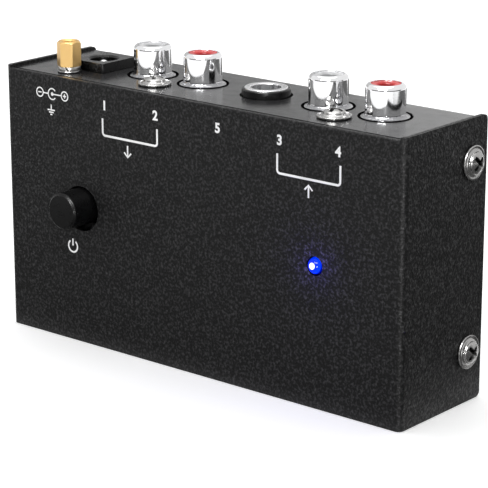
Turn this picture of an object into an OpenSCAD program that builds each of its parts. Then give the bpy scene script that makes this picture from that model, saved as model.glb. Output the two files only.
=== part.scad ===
// Phono preamp: folded steel case that stands on its base, sockets on top.
// +Z is up, +X runs along the width, the front plate faces -Y.
// The origin is the middle of the base's underside. Millimetres.

/* [Case] */
// Width of the case
case_w = 109; // [106:0.5:140]
// Depth of the case, front plate to back plate
case_d = 28; // [27:0.5:40]
// Height of the case, base to rim
case_h = 60; // [56:0.5:90]
// Thickness of the folded sheet
sheet_t = 1; // [0.8:0.05:1.3]
// Inside radius of the folds
fold_in = 0.3; // [0.2:0.05:0.6]
// Radius of the free corners of the side walls
corner_r = 1.2; // [0.5:0.1:3]
// How far the socket panel lies below the rim
panel_recess = 0.6; // [0.3:0.1:1.5]
// How far the front plate's edge lies below the walls' edge
rim_step = 0.6; // [0.4:0.05:0.7]
// Gap between the cover's walls and the chassis that slides into it
shell_gap = 0.1; // [0.05:0.05:0.2]
// Gap between the front plate and the chassis' front edge
front_gap = 0.5; // [0.3:0.05:0.7]

/* [Screws] */
// Thread radius of the case screws
screw_r = 1.5; // [1.2:0.05:1.75]
// Length of the case screws under the head
screw_l = 5; // [4:0.25:5.5]
// Radius of the washer head
screw_head_r = 3.6; // [3.2:0.1:4]
// Thickness of the washer under the head
screw_washer_t = 0.6; // [0.4:0.1:0.8]
// Height of the domed part of the head
screw_dome_h = 1.3; // [1:0.1:1.6]
// Lower side screws: height above the base
side_screw_low = 11; // [8.5:0.25:14]
// Upper side screws: distance from the walls' upper edge
side_screw_high = 9.1; // [8.5:0.1:12]
// Side screws: distance from the back
side_screw_back = 5; // [4.6:0.1:5.6]
// Width of the tabs that take the side screws
tab_w = 11; // [9:0.5:12]

/* [Socket row] */
// Gap from the left-hand wall to the power inlet; the five gaps share the width that the sockets leave
gap_left = 12.4; // [11.4:0.1:14]
// Gap between the power inlet and the input pair
gap_inlet = 3.15; // [2.5:0.05:4]
// Gap between the input pair and the large socket
gap_input = 3.65; // [2.5:0.05:5]
// Gap between the large socket and the output pair
gap_output = 2.55; // [2:0.05:4]
// Gap from the output pair to the right-hand wall
gap_right = 10.05; // [8:0.05:12]

/* [Phono sockets] */
// Distance between the two sockets of a pair
phono_pitch = 14.4; // [14:0.1:15]
// Outside radius of a shell
shell_r = 4.15; // [4:0.05:4.25]
// Wall of a shell
shell_t = 0.5; // [0.4:0.05:0.6]
// Height of a shell above the panel
shell_rise = 6.8; // [6:0.1:9]
// Rounding of a shell's rim
shell_round = 1; // [0.7:0.1:1.2]
// Radius of a shell's mouth
mouth_r = 3.1; // [2.8:0.05:3.15]
// Radius of the hole for the plug's pin
pin_hole_r = 1.7; // [1.65:0.05:1.8]
// Radius of a shell's flange
flange_r = 5.25; // [5:0.05:5.4]
// Gap between a flange and its hole in the panel
flange_gap = 0.4; // [0.2:0.05:0.5]
// Depth of a housing behind the panel
phono_depth = 10; // [9:0.5:13]
// Distance from the sockets' axis forward to the fixing screw
fix_forward = 7.4; // [7.2:0.1:8]

/* [Large socket] */
// Radius of its hole
jack_hole_r = 3.25; // [3.2:0.05:3.3]
// Outside radius of its bright ferrule
ferrule_r = 4.6; // [4.3:0.05:4.7]
// Length of the ferrule
ferrule_l = 9; // [7:0.5:11]
// Radius of its black nose
nose_r = 5.2; // [5:0.05:5.3]
// Height of the nose above the panel
nose_rise = 1.6; // [1.2:0.1:3]
// Gap between the nose and its hole in the panel
nose_gap = 0.4; // [0.2:0.05:0.5]
// Width of its body
jack_w = 16; // [15:0.5:16.5]
// Depth of its body behind the panel
jack_depth = 26; // [24:0.5:30]

/* [Power inlet] */
// Width of its block
inlet_w = 9; // [8.6:0.1:9.6]
// Reach of its block in front of the pin
inlet_front = 5.1; // [4.8:0.1:5.4]
// Reach of its block behind the pin, through the panel
inlet_back = 5.7; // [5:0.1:6]
// Gap between its block and the board; the three gaps across the depth share what is free
gap_rear = 3.6; // [3:0.1:4.2]
// Height of its block above the panel
inlet_rise = 2.1; // [1:0.1:4]
// Radius of its recess
inlet_hole_r = 3.15; // [3:0.05:3.3]
// Depth of its recess
inlet_hole_l = 9; // [8:0.5:10]
// Radius of its pin
inlet_pin_r = 1.05; // [0.8:0.05:1.25]
// Depth of its body behind the panel
inlet_depth = 12.2; // [12:0.1:14]

/* [Ground terminal] */
// Distance from the power inlet's axis sideways to the stud
ground_side = 2.6; // [1.8:0.1:3.4]
// Gap between the chassis' front edge and the solder lug
gap_front = 1.3; // [1:0.1:1.8]
// Gap between the lug and the power inlet's block
gap_middle = 0.4; // [0.35:0.05:0.8]
// Thread radius of the stud
stud_r = 1.5; // [1.25:0.05:1.6]
// Running clearance of the nut on the stud
thread_gap = 0.05; // [0.03:0.01:0.09]
// Distance across the flats of the nut
nut_flats = 4.7; // [4.5:0.1:5.2]
// Height of the nut
nut_h = 5.5; // [4:0.25:8]
// Thickness of the flat washer
washer_t = 0.5; // [0.3:0.05:0.6]
// Thickness of the split washer
split_t = 0.9; // [0.5:0.05:1.1]
// Radius of both washers
washer_r = 2.6; // [2.4:0.05:2.8]

/* [Power button] */
// Power button: distance from the left-hand wall
button_in = 22.3; // [18.5:0.1:26.5]
// Power button: height above the base
button_z = 31.4; // [24:0.1:33.5]
// Radius of the cap
button_r = 4.1; // [3.8:0.05:4.5]
// How far the cap stands out of the front plate
button_rise = 6.2; // [4.2:0.1:8]
// Gap all round between the cap and its hole, were the cap in the hole's middle
button_gap = 0.95; // [0.9:0.05:1.3]
// How far the hole's middle lies below the cap's
button_drop = 0.6; // [0:0.05:0.6]
// Travel of the button
button_travel = 3; // [1.5:0.1:3.4]
// Rounding of the cap's rim
button_round = 0.8; // [0.3:0.1:1.2]

/* [Light] */
// Light: distance from the right-hand wall
light_in = 21.9; // [18.5:0.1:26.5]
// Light: height above the base
light_z = 30.3; // [24:0.1:40]
// Radius of the lens
lens_r = 1.85; // [1.4:0.05:2]
// Gap between the lens and its hole
lens_gap = 0.2; // [0.15:0.05:0.4]
// How far the lens stands out of the front plate
lens_rise = 0.9; // [0.2:0.1:1.4]

/* [Circuit board] */
// Thickness of the board
board_t = 1.6; // [1.2:0.1:2]
// Gap between the board and the back plate
board_gap = 2.4; // [2.2:0.1:3]
// Gap between the board's ends and the tabs
board_end_gap = 4.4; // [4:0.1:6]
// Height of the board's lower edge above the base sheet
board_foot = 4; // [2:0.25:5]
// Height of the sockets' axis over the board
socket_rise = 8; // [7.8:0.1:8.4]
// Radius of the board screws
board_screw_r = 1.25; // [1:0.05:1.3]

/* [Hidden] */
$fn = 64;

// case
fold_out = fold_in + sheet_t;
front_y = -case_d / 2;
back_y = case_d / 2;
wall_x = case_w / 2;
chassis_x = wall_x - sheet_t - shell_gap;
chassis_front = front_y + sheet_t + front_gap;
panel_z = case_h - panel_recess;
panel_under = panel_z - sheet_t;
fit = 0.05;

// board and the sockets' common axis
board_back = back_y - sheet_t - board_gap;
board_face = board_back - board_t;
board_x = chassis_x - sheet_t - board_end_gap;
board_low = sheet_t + board_foot;
board_high = panel_under - 0.6;
tail = 0.8;
tail_end = board_back + tail;
axis_y = board_face - socket_rise;

// places along the row of sockets
port_r = flange_r + 0.6;
pair_w = phono_pitch + 2 * port_r;
gap_sum = gap_left + gap_inlet + gap_input + gap_output + gap_right;
gap_scale = (case_w - inlet_w - jack_w - 2 * pair_w) / gap_sum;
inlet_x = gap_left * gap_scale + inlet_w / 2 - wall_x;
input_x = inlet_x + (inlet_w + pair_w) / 2 + gap_inlet * gap_scale;
jack_x = input_x + (pair_w + jack_w) / 2 + gap_input * gap_scale;
output_x = jack_x + (jack_w + pair_w) / 2 + gap_output * gap_scale;
ground_x = inlet_x - ground_side;
button_x = button_in - wall_x;
light_x = wall_x - light_in;

// places across the depth
stud_head_r = 2.7;
lug_r = stud_head_r;
depth_free = board_face - chassis_front - 2 * lug_r - inlet_front - inlet_back;
depth_scale = depth_free / (gap_front + gap_middle + gap_rear);
ground_y = chassis_front + gap_front * depth_scale + lug_r;
inlet_y = ground_y + lug_r + gap_middle * depth_scale + inlet_front;

// screws
side_screw_y = back_y - side_screw_back;
side_screw_z = [side_screw_low, case_h - side_screw_high];
tab_reach = 4.6;
tab_front = side_screw_y - tab_reach;
tab_relief = 0.8;
screw_hole_r = screw_r + 0.2;
dome_r = screw_head_r * 0.78;
slot_w = 0.95;
slot_l = 3.4;
standoff_r = 2.6;
standoff_in = 5;
board_screw_l = board_t + 1.8;
board_head_h = 1.5;
board_slot_l = 2.4;
board_slot_w = 0.6;

// phono sockets
port_x = [-phono_pitch / 2, phono_pitch / 2];
phono_low = panel_under - phono_depth;
shell_low = phono_low + 2.5;
shell_top = panel_z + shell_rise;
flange_t = 0.7;
flange_low = panel_z + 0.1 - flange_t;
lip_r = flange_r + flange_gap - 0.1;
lip_top = panel_z + 0.15;
insulator_top = shell_top - 0.25;
contact_r = pin_hole_r + 0.4;
contact_h = 6.8;
contact_slot_w = 0.4;
contact_slot_h = 2.4;
contact_tail_z = shell_low - 1.1;
shell_tail_rise = 3;
shell_tail_z = shell_low + shell_tail_rise;
strip_w = 1;
strip_t = 0.5;
fix_y = axis_y - fix_forward;
boss_r = screw_head_r;
fix_screw_l = 7;

// large socket
nose_top = panel_z + nose_rise;
bore_r = jack_hole_r + 0.5;
jack_low = panel_under - jack_depth;
ferrule_tail_z = nose_top - ferrule_l + 1;
spring_w = 2.4;
spring_t = 0.4;
spring_out = 6.2;
spring_h = 9;
spring_start = 4;
spring_bend = 6.2;
ring_spring_z = nose_top - ferrule_l - spring_h - 0.5;
tip_spring_rise = 3;
tip_spring_z = jack_low + tip_spring_rise;

// power inlet
inlet_top = panel_z + inlet_rise;
inlet_floor = inlet_top - inlet_hole_l;
inlet_low = panel_under - inlet_depth;
inlet_gap = 0.25;
inlet_root_r = inlet_pin_r + 0.4;
inlet_root_low = inlet_low + 1.7;
clip_w = 2.2;
clip_t = 0.3;
clip_out = 0.7;
clip_bend = 1.5;
clip_foot = 2.3;
clip_reach = 6;
clip_low = inlet_low + clip_foot;
clip_mid = inlet_top - clip_reach;

// ground terminal
lug_t = 0.4;
lug_low = panel_under - lug_t;
stud_head_h = 1.8;
nut_low = panel_z + washer_t + split_t;
nut_top = nut_low + nut_h;
nut_corner = nut_flats / sqrt(3);
nut_turn = 30;
stud_top = nut_top - 1.1;
lug_l = 6;
lug_eye = lug_l - 1.2;
wire_r = 0.65;
strand_r = 0.35;
wire_bend = 3;
wire_x = ground_x - lug_eye;
wire_drop = 5.9;
wire_z = case_h - side_screw_high - wire_drop;

// power switch
switch_w = 8.5;
switch_l = 9;
switch_front = board_face - switch_l;
switch_wall = 1;
plunger_w = 3.4;
plunger_flange = 5;
plunger_flange_t = 1.2;
cap_front = front_y - button_rise;
cap_l = button_rise + sheet_t + button_travel + 2.4;
cap_back = cap_front + cap_l;
cap_socket = 5;
spring_coils = 6;
spring_wire = 0.22;
spring_r = 1.3;
switch_pin_r = 0.35;

// light
lens_tip = front_y - lens_rise;
lens_flange_r = lens_r + 0.35;
lens_flange_y = front_y + sheet_t + 2.2;
lens_flange_t = 1;
spacer_r = 2.4;
lead_pitch = 2.54;
lead_r = 0.28;

// parts on the board: shares of its half width and of its height, turned into [x, z]
function on_board(share) = [share.x * board_x, board_low + share.y * (board_high - board_low)];
chip_at = on_board([-0.12, 0.36]);
chip_pitch = 2.54;
chip_row = 7.62;
chip_w = 9.6;
chip_h = 6.4;
chip_t = 3.3;
chip_gap = 0.6;
notch_t = 0.5;
leg_y = board_face - 2.4;
leg_t = 0.4;
leg_w = 1;
can_r = 3.15;
can_h = 11;
can_at = [for (c = [[-0.915, 0.63], [0.375, 0.36], [0.52, 0.17], [0.875, 0.36], [0.875, 0.63]]) on_board(c)];
film_w = 7.2;
film_t = 2.6;
film_h = 6.4;
film_at = [for (c = [[-0.375, 0.475], [-0.375, 0.285], [0.165, 0.36], [0.165, 0.17]]) on_board(c)];
film_pitch = 5;
resistor_r = 1.15;
resistor_l = 6.3;
resistor_pitch = 10;
resistor_at = [for (c = [[-0.54, 0.7], [-0.54, 0.21], [-0.54, 0.13], [-0.83, 0.19], [-0.25, 0.1],
  [-0.17, 0.55], [0.5, 0.7], [0.5, 0.63], [0.75, 0.21]]) on_board(c)];
regulator_r = 2.4;
regulator_h = 4.8;
regulator_at = on_board([-0.83, 0.39]);
diode_r = 1.3;
diode_l = 5;
diode_at = on_board([-0.87, 0.27]);
lead_gap = 0.12;
lead_hole_r = lead_r + lead_gap;
strip_hole_r = 0.75;

// holes through the board: [x, z, radius]
phono_holes = [for (c = [input_x, output_x], p = port_x, z = [contact_tail_z - strip_t / 2, shell_tail_z])
  [c + p, z, strip_hole_r]];
jack_holes = [
  [jack_x, ferrule_tail_z, strip_hole_r],
  [jack_x + spring_out + spring_t / 2, tip_spring_z + 1, strip_hole_r],
  [jack_x - spring_out - spring_t / 2, ring_spring_z + 1, strip_hole_r]
];
inlet_holes = [
  [inlet_x, inlet_low + 1, strip_hole_r],
  [inlet_x - inlet_hole_r - clip_out + clip_t / 2, clip_low + strip_w / 2 + 0.2, strip_hole_r]
];
switch_holes = [for (x = [-2, 0, 2], z = [-2.5, 2.5]) [button_x + x, button_z + z, switch_pin_r + lead_gap]];
light_holes = [for (s = [-1, 1]) [light_x + s * lead_pitch / 2, light_z, lead_hole_r]];
chip_holes = [for (i = [0:3], s = [-1, 1])
  [chip_at.x + (i - 1.5) * chip_pitch, chip_at.y + s * chip_row / 2, lead_hole_r]];
can_holes = [for (c = can_at, s = [-1, 1]) [c.x + s * lead_pitch / 2, c.y, lead_hole_r]];
film_holes = [for (c = film_at, s = [-1, 1]) [c.x + s * film_pitch / 2, c.y, lead_hole_r]];
resistor_holes = [for (c = resistor_at, s = [-1, 1]) [c.x + s * resistor_pitch / 2, c.y, lead_hole_r]];
regulator_holes = [for (i = [-1:1]) [regulator_at.x + i * lead_pitch / 2, regulator_at.y, lead_hole_r]];
diode_holes = [for (s = [-1, 1]) [diode_at.x + s * resistor_pitch / 2, diode_at.y, lead_hole_r]];
small_holes = concat(phono_holes, jack_holes, inlet_holes, switch_holes, light_holes, chip_holes, can_holes,
  film_holes, resistor_holes, regulator_holes, diode_holes, [[wire_x, wire_z, strand_r + lead_gap]]);
standoff_at = [for (s = [-1, 1]) [s * (board_x - standoff_in), board_low + standoff_in]];

// shared shapes

module block(lo, hi) translate(lo) cube(hi - lo);

module facing_front(at) translate(at) rotate([90, 0, 0]) children();

module facing_back(at) translate(at) rotate([-90, 0, 0]) children();

module ring(r_out, r_in, h) difference() {
  cylinder(r = r_out, h = h);
  translate([0, 0, -1]) cylinder(r = r_in, h = h + 2);
}

// rectangle in plan, rounded at its two front corners
module front_rounded(w, front, back, r) {
  translate([-w / 2, front + r]) square([w, back - front - r]);
  translate([-w / 2 + r, front]) square([w - 2 * r, back - front]);
  for (s = [-1, 1]) translate([s * (w / 2 - r), front + r]) circle(r);
}

// rectangle in side view, rounded at its two rear corners
module rear_rounded(front, back, low, high, r) {
  translate([front, low]) square([back - front - r, high - low]);
  translate([front, low + r]) square([back - front, high - low - 2 * r]);
  for (z = [low + r, high - r]) translate([back - r, z]) circle(r);
}

// extrudes a side view over the width w, centred
module across(w) translate([-w / 2, 0, 0]) rotate([90, 0, 90]) linear_extrude(w) children();

// washer-head screw with a cross recess; its seat is z = 0 and its thread points down
module washer_screw(thread_r, length) difference() {
  union() {
    translate([0, 0, -length]) cylinder(r = thread_r, h = length + screw_washer_t / 2);
    cylinder(r = screw_head_r, h = screw_washer_t);
    intersection() {
      cylinder(r = dome_r, h = screw_washer_t + screw_dome_h);
      translate([0, 0, screw_washer_t + screw_dome_h - 2 * dome_r]) sphere(r = 2 * dome_r);
    }
  }
  for (a = [0, 90]) rotate(a)
    translate([-slot_l / 2, -slot_w / 2, screw_washer_t]) cube([slot_l, slot_w, screw_dome_h + 1]);
}

// round wire from the board's face at [x, z] back through the board
module lead(at, from_y)
  facing_back([at.x, from_y, at.y]) cylinder(r = lead_r, h = tail_end - from_y, $fn = 24);

// case

module front_cover() color([0.16, 0.16, 0.17]) difference() {
  intersection() {
    linear_extrude(case_h) difference() {
      front_rounded(case_w, front_y, back_y, fold_out);
      front_rounded(case_w - 2 * sheet_t, front_y + sheet_t, back_y + 1, fold_in);
    }
    across(case_w + 2) rear_rounded(front_y - 1, back_y, 0, case_h, corner_r);
  }
  block([-wall_x + fold_out, front_y - 1, case_h - rim_step],
    [wall_x - fold_out, chassis_front, case_h + 1]);
  facing_back([button_x, front_y - 1, button_z - button_drop])
    cylinder(r = button_r + button_gap, h = sheet_t + 2);
  facing_back([light_x, front_y - 1, light_z]) cylinder(r = lens_r + lens_gap, h = sheet_t + 2);
  for (z = side_screw_z) translate([-wall_x - 1, side_screw_y, z]) rotate([0, 90, 0])
    cylinder(r = screw_hole_r, h = case_w + 2);
}

// one tab, right-hand side, from z = 0 up
module tab() {
  translate([chassis_x - fold_out, back_y - fold_out, 0]) rotate_extrude(angle = 90)
    translate([fold_in, 0]) square([sheet_t, tab_w]);
  block([chassis_x - sheet_t, tab_front, 0], [chassis_x, back_y - fold_out, tab_w]);
}

module rear_chassis() color([0.2, 0.2, 0.21]) difference() {
  union() {
    difference() {
      across(2 * chassis_x) difference() {
        rear_rounded(chassis_front, back_y, 0, panel_z, fold_out);
        rear_rounded(chassis_front - 1, back_y - sheet_t, sheet_t, panel_under, fold_in);
      }
      for (s = [-1, 1], z = side_screw_z)
        translate([s * chassis_x, back_y, z])
          cube([2 * fold_out, 2 * (sheet_t + fold_in), tab_w + 2 * tab_relief], center = true);
    }
    for (m = [0, 1], z = side_screw_z) mirror([m, 0, 0]) translate([0, 0, z - tab_w / 2]) tab();
  }
  for (z = side_screw_z) translate([-wall_x, side_screw_y, z]) rotate([0, 90, 0])
    cylinder(r = screw_r + fit, h = case_w);
  for (c = [input_x, output_x]) {
    for (p = port_x) translate([c + p, axis_y, panel_under - 1])
      cylinder(r = flange_r + flange_gap, h = sheet_t + 2);
    translate([c, fix_y, panel_under - 1]) cylinder(r = screw_hole_r, h = sheet_t + 2);
  }
  translate([jack_x, axis_y, panel_under - 1]) cylinder(r = nose_r + nose_gap, h = sheet_t + 2);
  block([inlet_x - inlet_w / 2 - inlet_gap, inlet_y - inlet_front - inlet_gap, panel_under - 1],
    [inlet_x + inlet_w / 2 + inlet_gap, inlet_y + inlet_back + inlet_gap, panel_z + 1]);
  translate([ground_x, ground_y, panel_under - 1]) cylinder(r = stud_r + 0.1, h = sheet_t + 2);
}

module side_screws() color([0.7, 0.7, 0.72])
  for (s = [-1, 1], z = side_screw_z)
    translate([s * wall_x, side_screw_y, z]) rotate([0, s * 90, 0]) rotate(20 * s)
      washer_screw(screw_r, screw_l);

// circuit board

module circuit_board() color([0.1, 0.35, 0.2]) difference() {
  block([-board_x, board_face, board_low], [board_x, board_back, board_high]);
  for (h = small_holes) facing_back([h.x, board_face - 1, h.y])
    cylinder(r = h.z, h = board_t + 2, $fn = 24);
  for (p = standoff_at) facing_back([p.x, board_face - 1, p.y])
    cylinder(r = board_screw_r + 0.2, h = board_t + 2);
}

module board_standoffs() color([0.75, 0.75, 0.77])
  for (p = standoff_at) facing_back([p.x, board_back, p.y])
    ring(standoff_r, board_screw_r + fit, board_gap);

module board_screws() color([0.8, 0.8, 0.82])
  for (p = standoff_at) facing_front([p.x, board_face, p.y]) difference() {
    union() {
      translate([0, 0, -board_screw_l]) cylinder(r = board_screw_r, h = board_screw_l + 1);
      cylinder(r = 2 * board_screw_r, h = board_head_h);
    }
    for (a = [0, 90]) rotate(a) translate([-board_slot_l / 2, -board_slot_w / 2, board_head_h / 2])
      cube([board_slot_l, board_slot_w, board_head_h]);
  }

// phono sockets

// moulded block behind the panel, with a lip round each shell's flange
module phono_housing() difference() {
  union() {
    block([port_x[0] - port_r, axis_y - port_r, phono_low], [port_x[1] + port_r, board_face, panel_under]);
    for (p = port_x) translate([p, axis_y, panel_under - 1])
      cylinder(r = lip_r, h = lip_top - panel_under + 1);
    translate([0, fix_y, phono_low]) cylinder(r = boss_r, h = phono_depth);
    block([-boss_r, fix_y, phono_low], [boss_r, axis_y, panel_under]);
  }
  for (p = port_x) {
    translate([p, axis_y, shell_low]) cylinder(r = shell_r + fit, h = phono_depth + 2);
    translate([p, axis_y, flange_low]) cylinder(r = flange_r + fit, h = flange_t + 1);
    block([p - strip_w / 2 - 0.1, axis_y - strip_w / 2 - 0.1, phono_low - 1],
      [p + strip_w / 2 + 0.1, board_face + 1, shell_low + 0.1]);
    block([p - strip_w / 2 - 0.1, axis_y + shell_r - 0.3, shell_low - 0.1],
      [p + strip_w / 2 + 0.1, board_face + 1, shell_tail_z + strip_w / 2 + 0.1]);
  }
  translate([0, fix_y, panel_under - fix_screw_l - 0.5]) cylinder(r = screw_r + fit, h = fix_screw_l + 1);
}

module phono_shells() for (p = port_x) translate([p, axis_y, 0]) difference() {
  union() {
    rotate_extrude() {
      translate([0, shell_low]) square([shell_r, shell_top - shell_round - shell_low]);
      translate([0, shell_low]) square([shell_r - shell_round, shell_top - shell_low]);
      translate([shell_r - shell_round, shell_top - shell_round]) circle(shell_round);
      translate([0, flange_low]) square([flange_r, flange_t]);
    }
    block([-strip_w / 2, shell_r - shell_t, shell_tail_z - strip_w / 2],
      [strip_w / 2, tail_end - axis_y, shell_tail_z + strip_w / 2]);
  }
  rotate_extrude() {
    translate([0, shell_low - 1]) square([shell_r - shell_t, shell_top - shell_round - shell_low + 1]);
    translate([0, shell_low]) square([shell_r - shell_round, shell_top - shell_t - shell_low]);
    translate([shell_r - shell_round, shell_top - shell_round]) circle(shell_round - shell_t);
    translate([0, shell_low]) square([mouth_r, shell_top - shell_low + 1]);
  }
}

module phono_insulator() translate([0, axis_y, 0]) rotate_extrude() difference() {
  union() {
    translate([0, shell_low]) square([shell_r - shell_round, shell_top - shell_t - fit - shell_low]);
    translate([0, shell_low]) square([shell_r - shell_t - fit, shell_top - shell_round - shell_low]);
    translate([0, shell_low]) square([mouth_r - fit, insulator_top - shell_low]);
  }
  translate([0, shell_low - 1]) square([pin_hole_r, insulator_top - shell_low + 2]);
  translate([0, shell_low - 1]) square([contact_r + fit, contact_h + 1 + fit]);
  translate([pin_hole_r, insulator_top]) circle(0.35, $fn = 4);
}

module phono_contacts() for (p = port_x) translate([p, axis_y, 0]) {
  difference() {
    translate([0, 0, shell_low]) cylinder(r = contact_r, h = contact_h);
    translate([0, 0, shell_low + strip_t]) cylinder(r = pin_hole_r, h = contact_h);
    for (a = [0, 90]) rotate(a)
      block([-pin_hole_r * 2, -contact_slot_w / 2, shell_low + contact_slot_h],
        [pin_hole_r * 2, contact_slot_w / 2, shell_low + contact_slot_h + contact_h]);
  }
  block([-strip_w / 2, -strip_w / 2, contact_tail_z - strip_t],
    [strip_w / 2, strip_w / 2, shell_low + strip_t / 2]);
  block([-strip_w / 2, -strip_w / 2, contact_tail_z - strip_t],
    [strip_w / 2, tail_end - axis_y, contact_tail_z]);
}

module input_housing() color([0.08, 0.08, 0.08]) translate([input_x, 0, 0]) phono_housing();
module input_shells() color([0.85, 0.85, 0.86]) translate([input_x, 0, 0]) phono_shells();
module input_left_insulator() color([0.93, 0.93, 0.92])
  translate([input_x + port_x[0], 0, 0]) phono_insulator();
module input_right_insulator() color([0.8, 0.12, 0.12])
  translate([input_x + port_x[1], 0, 0]) phono_insulator();
module input_contacts() color([0.85, 0.7, 0.4]) translate([input_x, 0, 0]) phono_contacts();
module input_fixing_screw() color([0.75, 0.75, 0.77])
  translate([input_x, fix_y, panel_z]) rotate(35) washer_screw(screw_r, fix_screw_l);

module output_housing() color([0.08, 0.08, 0.08]) translate([output_x, 0, 0]) phono_housing();
module output_shells() color([0.85, 0.85, 0.86]) translate([output_x, 0, 0]) phono_shells();
module output_left_insulator() color([0.93, 0.93, 0.92])
  translate([output_x + port_x[0], 0, 0]) phono_insulator();
module output_right_insulator() color([0.8, 0.12, 0.12])
  translate([output_x + port_x[1], 0, 0]) phono_insulator();
module output_contacts() color([0.85, 0.7, 0.4]) translate([output_x, 0, 0]) phono_contacts();
module output_fixing_screw() color([0.75, 0.75, 0.77])
  translate([output_x, fix_y, panel_z]) rotate(10) washer_screw(screw_r, fix_screw_l);

// large socket

module jack_body() color([0.07, 0.07, 0.07]) translate([jack_x, axis_y, 0]) difference() {
  union() {
    block([-jack_w / 2, -nose_r - 2, jack_low], [jack_w / 2, board_face - axis_y, panel_under]);
    rotate_extrude() {
      translate([0, panel_under - 1]) square([nose_r, nose_top - panel_under + 0.7]);
      translate([0, panel_under - 1]) square([nose_r - 0.3, nose_top - panel_under + 1]);
      translate([nose_r - 0.3, nose_top - 0.3]) circle(0.3);
    }
  }
  translate([0, 0, jack_low - 1]) cylinder(r = bore_r, h = nose_top - jack_low + 2);
  translate([0, 0, nose_top - ferrule_l - fit]) cylinder(r = ferrule_r + fit, h = ferrule_l + 1);
  block([-strip_w / 2 - 0.1, ferrule_r - 1, ferrule_tail_z - strip_t / 2 - 0.1],
    [strip_w / 2 + 0.1, board_face - axis_y + 1, ferrule_tail_z + strip_t / 2 + 0.1]);
  for (s = [-1, 1]) mirror([s > 0 ? 0 : 1, 0, 0]) spring_slot(s > 0 ? tip_spring_z : ring_spring_z);
}

// slot beside the bore, open to the board
module spring_slot(low) {
  block([bore_r - 1, -spring_w / 2 - 0.3, low],
    [spring_out + spring_t + 0.4, spring_w / 2 + 0.3, low + spring_h + 0.6]);
  block([spring_out - 0.3, 0, low],
    [spring_out + spring_t + 0.4, board_face - axis_y + 1, low + 2.2]);
}

module jack_ferrule() color([0.85, 0.85, 0.86]) translate([jack_x, axis_y, 0]) {
  rotate_extrude() {
    translate([jack_hole_r, nose_top - ferrule_l]) square([ferrule_r - jack_hole_r, ferrule_l]);
    translate([jack_hole_r, nose_top - 0.1]) square([ferrule_r - 0.2 - jack_hole_r, 0.3]);
  }
  block([-strip_w / 2, ferrule_r - 0.5, ferrule_tail_z - strip_t / 2],
    [strip_w / 2, tail_end - axis_y, ferrule_tail_z + strip_t / 2]);
}

// bent leaf with a tail through the board; stands at x = spring_out from the bore's axis
module contact_leaf(low) {
  facing_front([0, spring_w / 2, 0]) linear_extrude(spring_w) polygon([
    [spring_out, low + 0.3], [spring_out + spring_t, low + 0.3], [spring_out + spring_t, low + spring_start],
    [bore_r + 0.3, low + spring_bend], [spring_out - spring_t, low + spring_h],
    [spring_out - 2 * spring_t, low + spring_h], [bore_r - 0.3, low + spring_bend],
    [spring_out, low + spring_start - 0.3]
  ]);
  block([spring_out, 0.2, low + 0.5], [spring_out + spring_t, tail_end - axis_y, low + 1.5]);
}

module jack_tip_spring() color([0.8, 0.8, 0.8])
  translate([jack_x, axis_y, 0]) contact_leaf(tip_spring_z);
module jack_ring_spring() color([0.8, 0.8, 0.8])
  translate([jack_x, axis_y, 0]) mirror([1, 0, 0]) contact_leaf(ring_spring_z);

// power inlet

module inlet_body() color([0.06, 0.06, 0.06]) translate([inlet_x, inlet_y, 0]) difference() {
  union() {
    block([-inlet_w / 2, -inlet_front, inlet_low], [inlet_w / 2, board_face - inlet_y, panel_under]);
    block([-inlet_w / 2, -inlet_front, panel_under - 1], [inlet_w / 2, inlet_back, inlet_top]);
  }
  translate([0, 0, inlet_floor]) cylinder(r = inlet_hole_r, h = inlet_hole_l + 1);
  translate([0, 0, inlet_root_low - 0.1]) cylinder(r = inlet_root_r + fit, h = inlet_hole_l);
  block([-strip_w / 2 - 0.1, -strip_w / 2 - 0.1, inlet_low - 1],
    [strip_w / 2 + 0.1, board_face - inlet_y + 1, inlet_low + 1.7]);
  block([-inlet_hole_r - clip_out - 0.2, -clip_w / 2 - 0.2, clip_low - 0.3],
    [-inlet_hole_r + 2 * clip_t, clip_w / 2 + 0.2, clip_mid + clip_bend + 0.5]);
  block([-inlet_hole_r - clip_out - 0.2, 0, clip_low - 0.3],
    [-inlet_hole_r - clip_out + clip_t + 0.2, board_face - inlet_y + 1, clip_low + strip_w + 0.5]);
}

module inlet_pin() color([0.85, 0.85, 0.86]) translate([inlet_x, inlet_y, 0]) {
  rotate_extrude() {
    translate([0, inlet_root_low]) square([inlet_root_r, inlet_floor - inlet_root_low]);
    translate([0, inlet_root_low]) square([inlet_pin_r, inlet_top - 0.6 - inlet_pin_r - inlet_root_low]);
    intersection() {
      square([inlet_pin_r, inlet_top]);
      translate([0, inlet_top - 0.6 - inlet_pin_r]) circle(inlet_pin_r);
    }
  }
  block([-strip_w / 2, -strip_w / 2, inlet_low + 0.7], [strip_w / 2, strip_w / 2, inlet_root_low + 0.3]);
  block([-strip_w / 2, -strip_w / 2, inlet_low + 0.7], [strip_w / 2, tail_end - inlet_y, inlet_low + 1.3]);
}

module inlet_spring() color([0.8, 0.8, 0.8]) translate([inlet_x - inlet_hole_r, inlet_y, 0]) {
  facing_front([0, clip_w / 2, 0]) linear_extrude(clip_w) polygon([
    [-clip_out, clip_low], [clip_t - clip_out, clip_low], [clip_t - clip_out, clip_mid - clip_bend],
    [clip_t, clip_mid], [clip_t - clip_out, clip_mid + clip_bend], [-clip_out, clip_mid + clip_bend],
    [0, clip_mid], [-clip_out, clip_mid - clip_bend]
  ]);
  block([-clip_out, 0.2, clip_low + 0.2], [clip_t - clip_out, tail_end - inlet_y, clip_low + strip_w + 0.2]);
}

// ground terminal

module at_ground(z) translate([ground_x, ground_y, z]) children();

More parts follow.
